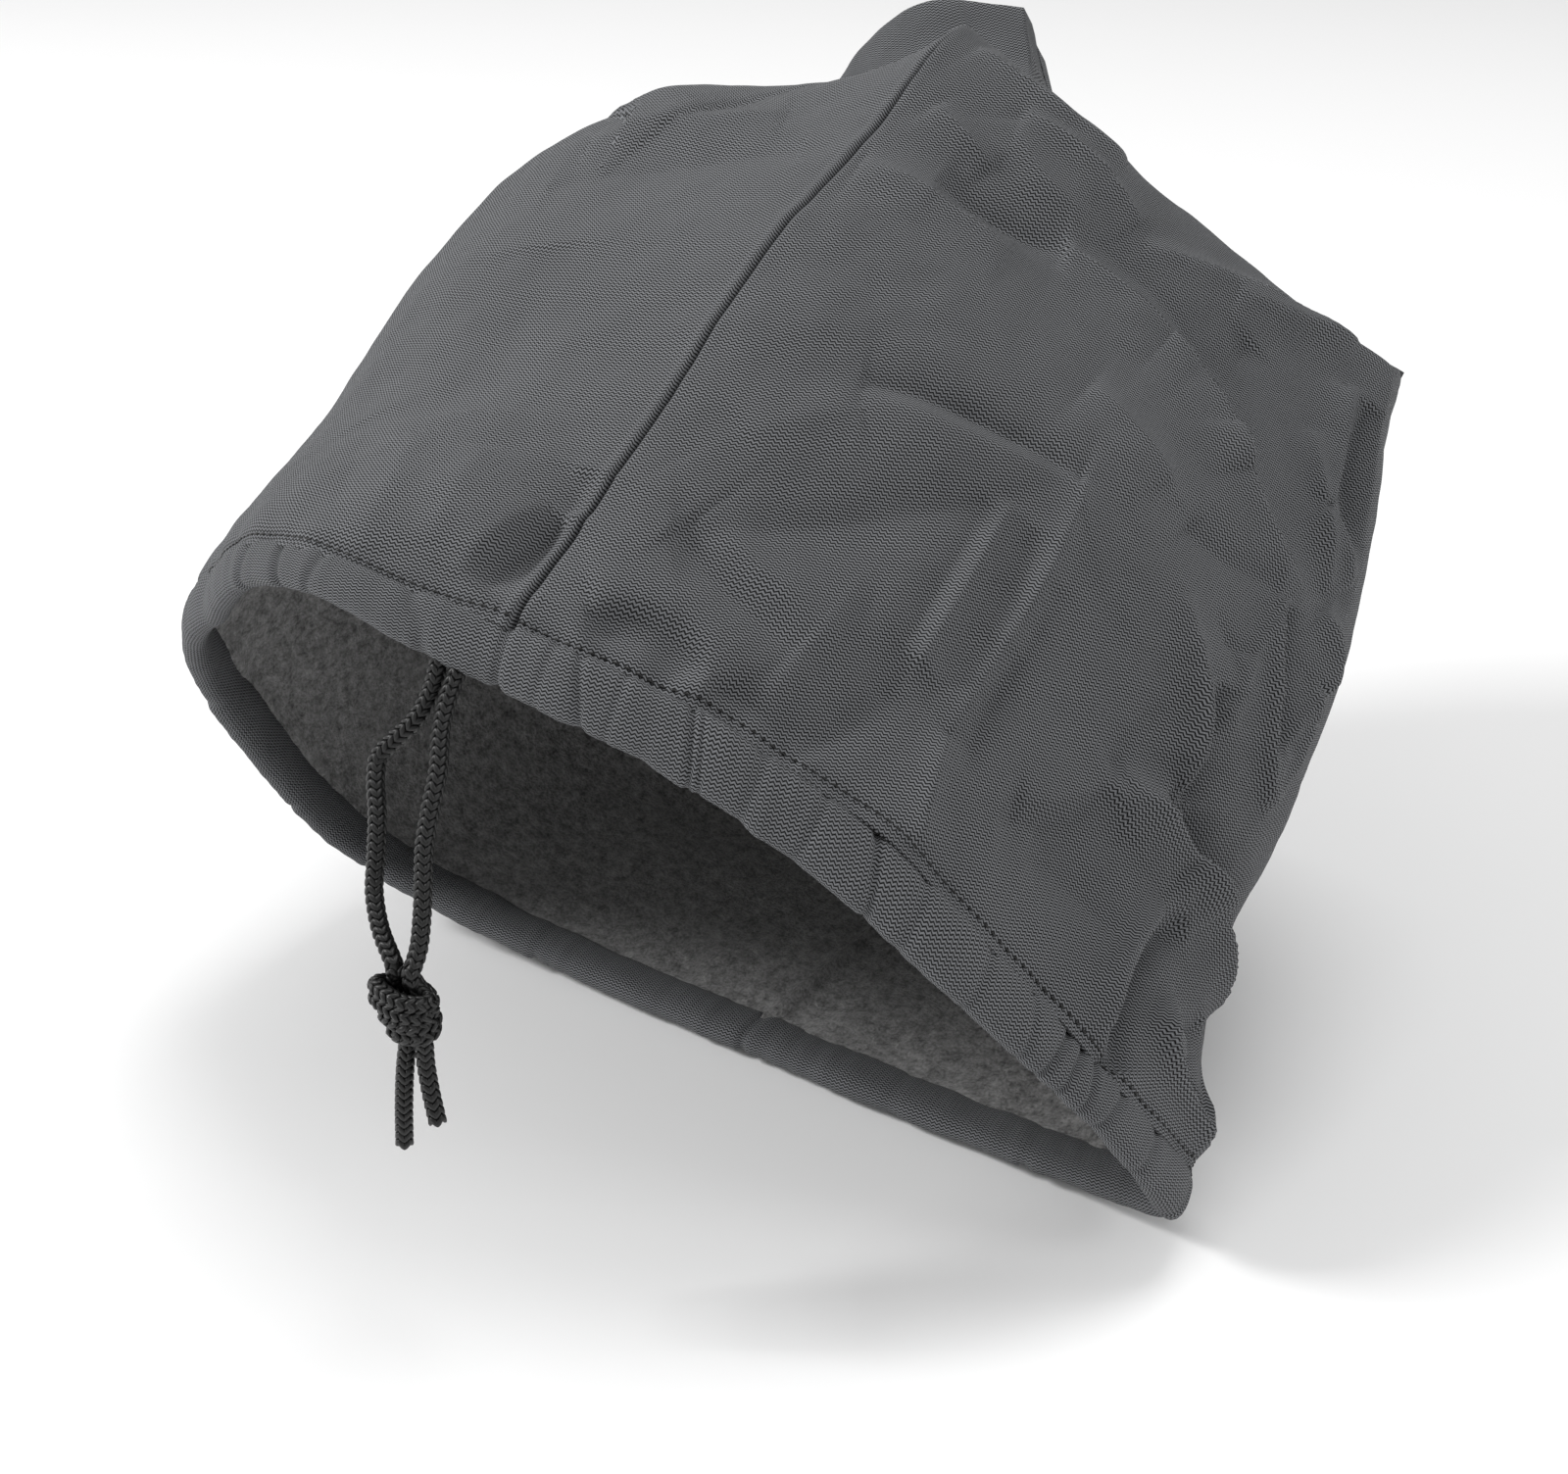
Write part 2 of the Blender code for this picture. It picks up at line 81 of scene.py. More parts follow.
# Sections from the mouth to the closed end: at is the share of the way, x is a share of width, y of reach and z of
# rise, and the four powers square off the quarters
SECTION_COLUMNS = (
    "at", "centre_x", "front_y", "front_z", "rear_y", "rear_z", "left_width", "left_at", "right_width",
    "right_at", "front_left", "rear_left", "front_right", "rear_right", "left_drop", "right_drop",
    "right_swell")
SECTIONS = [
    (0.00, 0.000, -0.367, 0.575, -0.048, 0.006, 0.466, 0.87, 0.494, 0.66,
     1.38, 4.0, 2.90, 3.0, 0.000, 0.000, 0.11),
    (0.05, 0.000, -0.342, 0.622, 0.006, 0.006, 0.457, 0.85, 0.506, 0.64,
     1.40, 3.7, 2.90, 3.0, 0.000, 0.000, 0.09),
    (0.19, 0.000, -0.176, 0.730, 0.182, 0.006, 0.411, 0.68, 0.511, 0.60,
     1.52, 2.5, 2.90, 3.0, 0.000, 0.000, 0.02),
    (0.38, 0.000, 0.015, 0.860, 0.379, 0.010, 0.420, 0.55, 0.506, 0.48,
     1.45, 1.9, 2.90, 2.6, 0.000, 0.000, 0.00),
    (0.53, 0.000, 0.170, 0.927, 0.521, 0.127, 0.406, 0.52, 0.469, 0.42,
     1.25, 1.9, 3.10, 2.4, 0.000, 0.013, -0.01),
    (0.68, 0.000, 0.327, 0.997, 0.594, 0.349, 0.377, 0.50, 0.420, 0.42,
     1.00, 2.0, 1.25, 2.2, 0.000, 0.057, -0.07),
    (0.78, -0.034, 0.412, 0.921, 0.624, 0.540, 0.400, 0.50, 0.354, 0.50,
     0.95, 2.0, 1.15, 2.0, 0.057, 0.092, -0.06),
    (0.92, -0.120, 0.561, 0.914, 0.636, 0.762, 0.457, 0.50, 0.254, 0.50,
     1.20, 2.0, 1.80, 2.0, 0.212, 0.143, 0.00),
    (1.00, -0.154, 0.600, 0.965, 0.639, 0.924, 0.491, 0.50, 0.200, 0.50,
     2.00, 2.0, 2.00, 2.0, 0.311, 0.180, 0.00),
]

# Folds of the cloth: two ends and a middle in shares round and up, height in metres, half width on the side
# towards the closed end (over) and towards the mouth (under)
FOLD_COLUMNS = ("round_1", "up_1", "round_2", "up_2", "round_3", "up_3", "height", "over", "under")
FOLDS = [
    (0.077, 0.546, 0.113, 0.550, 0.148, 0.543, 0.0026, 0.0022, 0.014),
    (0.132, 0.546, 0.161, 0.533, 0.183, 0.501, 0.0032, 0.0022, 0.014),
    (0.172, 0.524, 0.193, 0.482, 0.221, 0.466, 0.0032, 0.0022, 0.012),
    (0.082, 0.569, 0.133, 0.569, 0.174, 0.543, -0.0014, 0.008, 0.006),
    (0.111, 0.440, 0.141, 0.430, 0.169, 0.414, 0.0030, 0.009, 0.012),
    (0.151, 0.424, 0.178, 0.417, 0.211, 0.446, -0.0025, 0.008, 0.012),
    (0.048, 0.311, 0.084, 0.346, 0.125, 0.369, -0.0040, 0.006, 0.008),
    (0.050, 0.301, 0.085, 0.330, 0.124, 0.362, 0.0030, 0.008, 0.012),
    (0.024, 0.149, 0.073, 0.230, 0.122, 0.359, -0.0030, 0.014, 0.016),
    (0.108, 0.311, 0.108, 0.233, 0.104, 0.146, 0.0022, 0.0032, 0.0032),
    (0.126, 0.369, 0.129, 0.253, 0.123, 0.149, 0.0026, 0.0034, 0.0034),
    (0.123, 0.149, 0.122, 0.117, 0.125, 0.082, 0.0026, 0.0030, 0.0045),
    (0.120, 0.308, 0.119, 0.233, 0.114, 0.149, -0.0014, 0.0045, 0.0045),
    (0.103, 0.301, 0.102, 0.220, 0.095, 0.140, -0.0014, 0.0050, 0.0050),
    (0.136, 0.285, 0.136, 0.208, 0.131, 0.146, -0.0012, 0.0045, 0.0045),
    (0.036, 0.617, 0.069, 0.624, 0.105, 0.614, 0.0026, 0.003, 0.012),
    (0.035, 0.608, 0.054, 0.579, 0.079, 0.582, 0.0018, 0.006, 0.010),
    (0.009, 0.653, 0.043, 0.646, 0.086, 0.666, 0.0030, 0.008, 0.008),
    (0.005, 0.488, 0.032, 0.495, 0.061, 0.501, 0.0030, 0.006, 0.010),
    (0.027, 0.517, 0.051, 0.527, 0.077, 0.546, -0.0035, 0.008, 0.008),
    (0.011, 0.575, 0.024, 0.566, 0.037, 0.559, 0.0025, 0.005, 0.006),
    (0.110, 0.598, 0.177, 0.646, 0.233, 0.685, 0.0025, 0.004, 0.008),
    (0.166, 0.627, 0.214, 0.663, 0.249, 0.714, 0.0025, 0.004, 0.008),
    (0.232, 0.640, 0.230, 0.595, 0.225, 0.546, 0.0035, 0.004, 0.005),
    (0.225, 0.546, 0.234, 0.530, 0.244, 0.514, 0.0035, 0.005, 0.006),
    (0.242, 0.643, 0.238, 0.585, 0.245, 0.546, -0.0040, 0.006, 0.005),
    (0.179, 0.604, 0.171, 0.579, 0.164, 0.553, -0.0020, 0.006, 0.008),
    (0.215, 0.585, 0.222, 0.537, 0.233, 0.488, 0.0025, 0.004, 0.005),
    (0.234, 0.472, 0.244, 0.456, 0.246, 0.424, 0.0040, 0.005, 0.007),
    (0.213, 0.440, 0.225, 0.372, 0.243, 0.314, 0.0040, 0.004, 0.004),
    (0.219, 0.443, 0.228, 0.395, 0.239, 0.353, -0.0040, 0.005, 0.004),
    (0.207, 0.375, 0.210, 0.317, 0.205, 0.249, 0.0030, 0.005, 0.006),
    (0.175, 0.362, 0.193, 0.320, 0.204, 0.266, 0.0025, 0.005, 0.006),
    (0.196, 0.330, 0.203, 0.279, 0.210, 0.227, 0.0035, 0.004, 0.007),
    (0.203, 0.337, 0.209, 0.295, 0.215, 0.253, -0.0035, 0.006, 0.006),
    (0.183, 0.217, 0.210, 0.217, 0.238, 0.214, 0.0060, 0.004, 0.009),
    (0.219, 0.217, 0.247, 0.208, 0.284, 0.172, 0.0065, 0.004, 0.009),
    (0.202, 0.230, 0.236, 0.230, 0.291, 0.214, -0.0060, 0.008, 0.005),
    (0.215, 0.169, 0.202, 0.107, 0.205, 0.049, 0.0045, 0.008, 0.005),
    (0.227, 0.178, 0.211, 0.114, 0.213, 0.056, -0.0050, 0.006, 0.006),
    (0.232, 0.133, 0.233, 0.091, 0.295, 0.072, 0.0045, 0.007, 0.004),
    (0.253, 0.149, 0.240, 0.107, 0.258, 0.095, -0.0035, 0.006, 0.005),
    (0.015, 0.088, 0.036, 0.107, 0.058, 0.091, 0.0030, 0.012, 0.008),
    (0.017, 0.078, 0.033, 0.098, 0.051, 0.085, -0.0035, 0.006, 0.008),
    (0.024, 0.149, 0.047, 0.137, 0.071, 0.130, -0.0035, 0.016, 0.008),
    (0.029, 0.169, 0.054, 0.156, 0.081, 0.153, 0.0025, 0.014, 0.012),
    (0.083, 0.082, 0.096, 0.127, 0.106, 0.172, -0.0030, 0.008, 0.007),
    (0.148, 0.133, 0.169, 0.159, 0.184, 0.201, -0.0030, 0.008, 0.012),
    (0.153, 0.149, 0.171, 0.175, 0.183, 0.214, 0.0025, 0.008, 0.008),
    (0.162, 0.127, 0.183, 0.133, 0.201, 0.127, -0.0025, 0.010, 0.010),
    (-0.001, 0.075, -0.004, 0.117, -0.006, 0.159, -0.0030, 0.010, 0.010),
    (-0.086, 0.475, -0.060, 0.508, -0.034, 0.540, 0.0025, 0.010, 0.012),
    (-0.084, 0.417, -0.050, 0.456, -0.017, 0.498, -0.0020, 0.012, 0.012),
    (-0.016, 0.062, -0.014, 0.098, -0.010, 0.130, 0.0022, 0.010, 0.004),
    (-0.009, 0.062, -0.006, 0.098, -0.004, 0.130, -0.0030, 0.005, 0.007),
    (-0.002, 0.075, -0.002, 0.104, -0.003, 0.137, 0.0018, 0.003, 0.006),
    (-0.038, 0.049, -0.043, 0.098, -0.053, 0.146, 0.0015, 0.008, 0.010),
    (-0.051, 0.053, -0.059, 0.101, -0.078, 0.159, -0.0013, 0.010, 0.010),
    (-0.024, 0.072, -0.028, 0.111, -0.032, 0.149, 0.0014, 0.008, 0.010),
    (-0.091, 0.533, -0.081, 0.550, -0.059, 0.530, 0.0040, 0.030, 0.030),
    (-0.064, 0.340, -0.057, 0.256, -0.046, 0.172, -0.0022, 0.022, 0.022),
    (0.135, 0.224, 0.133, 0.175, 0.132, 0.137, -0.0013, 0.003, 0.008),
    (0.185, 0.346, 0.196, 0.308, 0.208, 0.233, 0.0016, 0.0026, 0.0026),
    (0.215, 0.421, 0.211, 0.379, 0.215, 0.314, 0.0016, 0.0026, 0.0026),
    (0.238, 0.421, 0.248, 0.391, 0.244, 0.311, 0.0018, 0.0028, 0.0028),
    (0.250, 0.450, 0.240, 0.362, 0.247, 0.317, 0.0018, 0.0028, 0.0028),
    (0.188, 0.208, 0.211, 0.224, 0.243, 0.214, 0.0024, 0.0024, 0.0090),
    (0.224, 0.188, 0.202, 0.130, 0.203, 0.075, 0.0022, 0.0030, 0.0090),
    (0.221, 0.111, 0.242, 0.104, 0.274, 0.085, 0.0020, 0.0080, 0.0030),
    (0.188, 0.208, 0.183, 0.240, 0.195, 0.304, -0.0010, 0.0040, 0.0040),
    (0.189, 0.379, 0.206, 0.362, 0.208, 0.330, -0.0012, 0.0050, 0.0050),
    (0.018, 0.066, 0.030, 0.085, 0.046, 0.078, -0.0021, 0.009, 0.006),
    (0.052, 0.082, 0.069, 0.088, 0.084, 0.075, -0.0026, 0.008, 0.006),
    (0.028, 0.224, 0.040, 0.259, 0.053, 0.288, 0.0016, 0.010, 0.010),
    (0.014, 0.188, 0.043, 0.162, 0.072, 0.146, 0.0012, 0.012, 0.012),
]

# Channel's edges: share round, how far the lower and the upper edge lie nearer to the closed end than on an even
# channel in metres, and its thickness as a share
HEM_WAVE_COLUMNS = ("round", "lower", "upper", "thickness")
HEM_WAVES = [
    (-0.500, 0.0000, 0.0000, 1.00), (-0.300, 0.0008, 0.0004, 1.06), (-0.150, 0.0000, 0.0000, 1.00),
    (-0.093, 0.0000, -0.0030, 0.90), (-0.064, 0.0004, -0.0048, 0.86), (-0.046, 0.0000, -0.0050, 0.98),
    (-0.034, -0.0008, -0.0052, 1.06), (-0.025, -0.0018, -0.0048, 1.12), (-0.013, -0.0012, -0.0026, 1.08),
    (-0.003, 0.0000, 0.0000, 0.98), (0.003, 0.0000, 0.0000, 1.06), (0.014, 0.0002, 0.0004, 1.12),
    (0.030, 0.0014, 0.0026, 1.00), (0.041, 0.0032, 0.0034, 0.95), (0.053, 0.0031, 0.0058, 1.02),
    (0.070, 0.0048, 0.0064, 1.12), (0.082, 0.0040, 0.0066, 1.00), (0.100, 0.0042, 0.0074, 1.08),
    (0.117, 0.0038, 0.0074, 0.96), (0.136, 0.0026, 0.0054, 1.08), (0.155, 0.0015, 0.0032, 1.00),
    (0.179, 0.0013, 0.0017, 1.05), (0.196, 0.0013, 0.0000, 0.94), (0.208, 0.0012, -0.0015, 1.05),
    (0.231, 0.0000, -0.0016, 1.00), (0.260, 0.0000, 0.0000, 1.05), (0.380, 0.0006, 0.0004, 1.00),
    (0.500, 0.0000, 0.0000, 1.00),
]
# Pleats across the channel: share round, depth, half width and lean of each in metres
HEM_PLEAT_COLUMNS = ("round", "depth", "width", "lean")
HEM_PLEATS = [
    (-0.078, 0.0011, 0.0016, 0.002), (-0.062, 0.0014, 0.0013, -0.001), (-0.049, 0.0010, 0.0014, 0.002),
    (-0.020, 0.0009, 0.0025, -0.004), (0.012, 0.0008, 0.0016, 0.001), (0.022, 0.0012, 0.0014, -0.002),
    (0.032, 0.0007, 0.0014, 0.001), (0.054, 0.0016, 0.0012, -0.002), (0.057, 0.0009, 0.0009, -0.002),
    (0.073, 0.0007, 0.0020, 0.001), (0.093, 0.0009, 0.0016, 0.002), (0.115, 0.0016, 0.0013, -0.002),
    (0.131, 0.0008, 0.0020, 0.001), (0.158, 0.0009, 0.0015, 0.001), (0.178, 0.0012, 0.0014, -0.002),
    (0.190, 0.0018, 0.0012, 0.002), (0.197, 0.0016, 0.0011, 0.001), (0.204, 0.0018, 0.0012, -0.001),
    (0.214, 0.0013, 0.0014, 0.002), (0.232, 0.0012, 0.0016, 0.001), (0.285, 0.0010, 0.0018, 0.001),
    (0.330, 0.0012, 0.0016, -0.002), (0.405, 0.0010, 0.0018, 0.002), (-0.420, 0.0011, 0.0016, 0.002),
    (-0.350, 0.0010, 0.0018, -0.002), (-0.270, 0.0012, 0.0016, 0.001), (-0.190, 0.0010, 0.0018, -0.001),
]
FOLD_STRENGTH = 1.60
FOLD_SHARPNESS = 1.25
FOLD_FADE = 0.45

# Cord points from the middle of the opening, in metres
STRAND_LEFT = [
    (0.0032, -0.0040, -0.0060), (0.0045, -0.0095, -0.0140), (0.0078, -0.0150, -0.0225),
    (0.0094, -0.0205, -0.0310), (0.0110, -0.0255, -0.0395), (0.0132, -0.0292, -0.0480),
    (0.0152, -0.0328, -0.0565), (0.0166, -0.0366, -0.0640)]
STRAND_RIGHT = [
    (-0.0028, -0.0040, -0.0060), (-0.0042, -0.0090, -0.0132), (-0.0092, -0.0134, -0.0198),
    (-0.0122, -0.0164, -0.0242), (-0.0106, -0.0200, -0.0298), (-0.0072, -0.0236, -0.0356),
    (-0.0042, -0.0284, -0.0460), (-0.0022, -0.0322, -0.0550), (0.0024, -0.0358, -0.0616)]
KNOT_CENTRE = (0.0145, -0.0405, -0.0790)
TAIL_LEFT = [(0.0201, -0.0408, -0.0950), (0.0216, -0.0416, -0.1020), (0.0240, -0.0424, -0.1110)]
TAIL_RIGHT = [(0.0140, -0.0420, -0.0960), (0.0134, -0.0436, -0.1090), (0.0130, -0.0446, -0.1230)]
STRANDS_MEET = (0.0029, -0.0029)
TAILS_MEET = (0.0054, -0.0004)
# How far each tail runs up inside the knot
TAIL_TUCK = (0.0, 0.0, 0.0070)


# Surface of the bag, with the mouth at up 0, the closed end at up 1 and the front seam at around 0
def spline(rows, at):
    """Smooth values of every column between the table's rows."""
    t = np.array([row[0] for row in rows])
    a = np.array([row[1:] for row in rows])
    h = np.diff(t)
    slope = np.diff(a, axis=0) / h[:, None]
    inner = (slope[:-1] * h[1:, None] + slope[1:] * h[:-1, None]) / (h[1:] + h[:-1])[:, None]
    m = np.vstack([slope[:1], inner, slope[-1:]])
    at = np.clip(at, t[0], t[-1])
    k = np.clip(np.searchsorted(t, at, side="right") - 1, 0, len(t) - 2)
    s = ((at - t[k]) / h[k])[..., None]
    hk = h[k][..., None]
    return ((2 * s**3 - 3 * s**2 + 1) * a[k] + (s**3 - 2 * s**2 + s) * hk * m[k]
            + (3 * s**2 - 2 * s**3) * a[k + 1] + (s**3 - s**2) * hk * m[k + 1])


def skin(around, up, inset=0.0):
    """Point of the smooth bag, drawn in by inset along its section."""
    around, up = np.broadcast_arrays(np.asarray(around, float), np.asarray(up, float))
    row = dict(zip(SECTION_COLUMNS[1:], np.moveaxis(spline(SECTIONS, up), -1, 0)))
    angle = 2 * math.pi * around
    s, c = np.sin(angle), np.cos(angle)
    left, front = s >= 0, c >= 0
    front_y, front_z = row["front_y"] * BAG_REACH, row["front_z"] * BAG_RISE
    rear_y, rear_z = row["rear_y"] * BAG_REACH, row["rear_z"] * BAG_RISE
    length = np.hypot(rear_y - front_y, rear_z - front_z)
    spread = np.clip((up - 0.50) / 0.35, 0, 1)
    inset = inset * (1 + END_SPREAD * spread**2 * (3 - 2 * spread))
    step = inset / length
    width = np.where(left, row["left_width"], row["right_width"]) * BAG_WIDTH - inset
    at = np.where(left, row["left_at"], row["right_at"])
    power = np.where(left, np.where(front, row["front_left"], row["rear_left"]),
                     np.where(front, row["front_right"], row["rear_right"]))
    power = np.maximum(power, 0.85)
    r = (np.abs(s) ** power + np.abs(c) ** power) ** (-1 / power)
    t = np.abs(r * s)
    along = np.where(front, at - (at - step) * r * c, at - (1 - at - step) * r * c)
    along = along - np.where(~left & front, row["right_swell"] * np.sin(math.pi * np.minimum(t / 0.72, 1)), 0)
    past_flat = np.maximum(t - LEFT_FLAT, 0) / (1 - LEFT_FLAT)
    left_share = past_flat * ((1 + LEFT_EASE) / (past_flat + LEFT_EASE)) ** (1 - LEFT_BEND)
    drop = np.where(left, row["left_drop"] * left_share, row["right_drop"] * t**RIGHT_BEND) * BAG_RISE
    x = row["centre_x"] * BAG_WIDTH + width * r * s
    y = front_y + (rear_y - front_y) * along
    z = front_z + (rear_z - front_z) * along - drop
    return np.stack([x, y, z], -1)


def outward(around, up):
    """Unit vector out of the smooth bag."""
    step = 0.002
    a = skin(around + step, up) - skin(around - step, up)
    b = skin(around, np.clip(up + step, 0, 1)) - skin(around, np.clip(up - step, 0, 1))
    n = np.cross(a, b)
    return n / np.linalg.norm(n, axis=-1, keepdims=True)


def fold_height(around, up):
    """Height of all folds at each point: a crest with its own width on either side, fading at its ends."""
    points = skin(around, up)
    normal = outward(around, up)
    total = np.zeros(points.shape[:-1])
    for fold in FOLDS:
        row = dict(zip(FOLD_COLUMNS, fold))
        t = np.linspace(0, 1, 13)
        ease = [(1 - t) * (1 - 2 * t), 4 * t * (1 - t), t * (2 * t - 1)]
        way_round = sum(e * row[f"round_{k}"] for k, e in zip((1, 2, 3), ease))
        way_up = sum(e * row[f"up_{k}"] for k, e in zip((1, 2, 3), ease))
        line = skin(way_round, way_up)
        reach = 3 * max(row["over"], row["under"]) + 0.02
        near_enough = np.linalg.norm(points - line.mean(0), axis=-1) < reach + np.linalg.norm(line[-1] - line[0])
        p, n = points[near_enough], normal[near_enough]
        start, along = line[:-1], np.diff(line, axis=0)
        off = p[:, None, :] - start
        share = np.clip((off * along).sum(-1) / (along * along).sum(-1), 0, 1)
        off = off - share[..., None] * along
        distance = np.linalg.norm(off, axis=-1)
        best = distance.argmin(1)
        pick = np.arange(len(p))
        distance, off = distance[pick, best], off[pick, best]
        where = (best + share[pick, best]) / len(along)
        side = (np.cross(n, along[best]) * off).sum(-1)
        half = np.where(side > 0, row["over"], row["under"])
        fade = np.clip(4 * where * (1 - where), 0, 1) ** FOLD_FADE
        total[near_enough] += FOLD_STRENGTH * row["height"] * fade * np.exp(-(distance / half) ** FOLD_SHARPNESS)
    return total


def rumple(points, size, seed):
    """Smooth noise between -1 and 1 at each point, for the small unevenness of worn cloth."""
    flat = points.reshape(-1, 3) / size
    place = Vector((seed, 2 * seed, 3 * seed))
    values = [noise.noise(Vector(p) + place) for p in flat]
    return np.array(values).reshape(points.shape[:-1])


seat = skin(0.0, SEAT_AT, LAYERS[3])
# Length round the mouth, heights and half widths of the cloth's small forms, all in metres
MOUTH_LENGTH = 0.95
SEAM_LIP_RIGHT, SEAM_LIP_LEFT, SEAM_LIP_AT, SEAM_LIP_WIDTH = 0.0008, 0.0002, 0.0022, 0.0015
SEAM_DEPTH, SEAM_WIDTH = 0.0024, 0.00050
STITCHED_DEPTH, STITCHED_WIDTH = 0.0010, 0.0018
PUCKER_HEIGHT, PUCKER_AT, PUCKER_REACH = 0.0016, 0.003, 0.010
PANEL_TUCK = 0.0024


def seam_height(points):
    """The groove of the centre seam, with the cloth rising softly beside it, more on the right panel."""
    off = np.abs(points[..., 0])
    lip = np.where(points[..., 0] < 0, SEAM_LIP_RIGHT, SEAM_LIP_LEFT)
    rise = lip * np.exp(-((off - SEAM_LIP_AT) / SEAM_LIP_WIDTH) ** 2)
    return rise - SEAM_DEPTH * np.exp(-((off / SEAM_WIDTH) ** 2))


def cloth(around, up, inset=0.0):
    """Point of the folded cloth in the object's frame."""
    around, up = np.broadcast_arrays(np.asarray(around, float), np.asarray(up, float))
    smooth = skin(around, up)
    height = fold_height(around, up) + seam_height(smooth)
    height = height + 0.0010 * rumple(smooth, 0.022, 1.0) + 0.0004 * rumple(smooth, 0.009, 2.0)
    above = (up - HEM_MIDDLE) * hem_frame(around)[3] - hem_edges(around)[1]
    pucker = rumple(np.stack([around * MOUTH_LENGTH, up * 0.06, 0 * up], -1), 0.011, 3.0)
    height = height - STITCHED_DEPTH * np.exp(-((above / STITCHED_WIDTH) ** 2))
    height = height + PUCKER_HEIGHT * pucker * np.exp(-((above - PUCKER_AT) / PUCKER_REACH) ** 2)
    return skin(around, up, inset) + outward(around, up) * height[..., None] - seat


# Channel round the mouth
def hem_frame(around):
    """Centre, direction towards the closed end and outward direction of the channel."""
    around = np.asarray(around, float)
    up = np.full(around.shape, HEM_MIDDLE)
    n = outward(around, up)
    rise = skin(around, up + 0.01) - skin(around, up - 0.01)
    rise = rise - n * (rise * n).sum(-1, keepdims=True)
    speed = np.linalg.norm(rise, axis=-1, keepdims=True)
    middle = skin(around, up) - n * (HEM_THICKNESS / 2 - CLOTH_WALL) - seat
    return middle, rise / speed, n, speed[..., 0] / 0.02


def hem_edges(around):
    """Lower and upper edge of the channel along its direction towards the closed end, and its thickness share."""
    turns = np.asarray(around, float)
    values = np.moveaxis(spline(HEM_WAVES, turns - np.floor(turns + 0.5)), -1, 0)
    row = dict(zip(HEM_WAVE_COLUMNS[1:], values))
    return row["lower"] - HEM_HEIGHT / 2, row["upper"] + HEM_HEIGHT / 2, row["thickness"]


def panel_start(around):
    """Share where the panels begin, tucked behind the channel's upper edge."""
    return HEM_MIDDLE + (hem_edges(around)[1] - PANEL_TUCK) / hem_frame(around)[3]


# Nodes for materials and for geometry, written as expressions
class Value:
    """A socket that takes part in sums."""

    def __init__(self, graph, socket):
        self.graph = graph
        self.socket = socket

    def math(self, operation, *others):
        return self.graph.node("ShaderNodeMath", {"operation": operation}, dict(enumerate((self, *others))))

    def __add__(self, other):
        return self.math("ADD", other)

    def __radd__(self, other):
        return self.math("ADD", other)

    def __sub__(self, other):
        return self.math("SUBTRACT", other)

    def __rsub__(self, other):
        return self.graph.node("ShaderNodeMath", {"operation": "SUBTRACT"}, {0: other, 1: self})

    def __mul__(self, other):
        return self.math("MULTIPLY", other)

    def __rmul__(self, other):
        return self.math("MULTIPLY", other)

    def __truediv__(self, other):
        return self.math("DIVIDE", other)

    def __rtruediv__(self, other):
        return self.graph.node("ShaderNodeMath", {"operation": "DIVIDE"}, {0: other, 1: self})


class Graph:
    """A node tree and the one way in which its nodes are made."""

    def __init__(self, tree):
        self.tree = tree

    def node(self, kind, settings=None, values=None, out=0):
        made = self.tree.nodes.new(kind)
        for name, setting in (settings or {}).items():
            if name == "stops":
                ramp = made.color_ramp
                while len(ramp.elements) < len(setting):
                    ramp.elements.new(0.5)
                for element, (place, colour) in zip(ramp.elements, setting):
                    element.position = place
                    element.color = colour
            else:
                setattr(made, name, setting)
        for name, value in (values or {}).items():
            socket = made.inputs[name]
            if isinstance(value, Value):
                self.tree.links.new(value.socket, socket)
            elif isinstance(value, bpy.types.NodeSocket):
                self.tree.links.new(value, socket)
            else:
                socket.default_value = value
        return Value(self, made.outputs[out])


def material(name, build):
    """A new material whose look build makes from its graph and its main shader."""
    made = bpy.data.materials.new(name)
    made.use_nodes = True
    graph = Graph(made.node_tree)
    build(graph, made.node_tree.nodes["Principled BSDF"])
    return made


def grey(value, tint=(1.0, 1.0, 1.0)):
    return (value * tint[0], value * tint[1], value * tint[2], 1.0)


# Twill whose rows run across the cloth in a fine zigzag; the piece's UV map is in metres
TWILL_ROW = 0.00104
TWILL_ZIGZAG = 0.00170
TWILL_SWING = 0.62


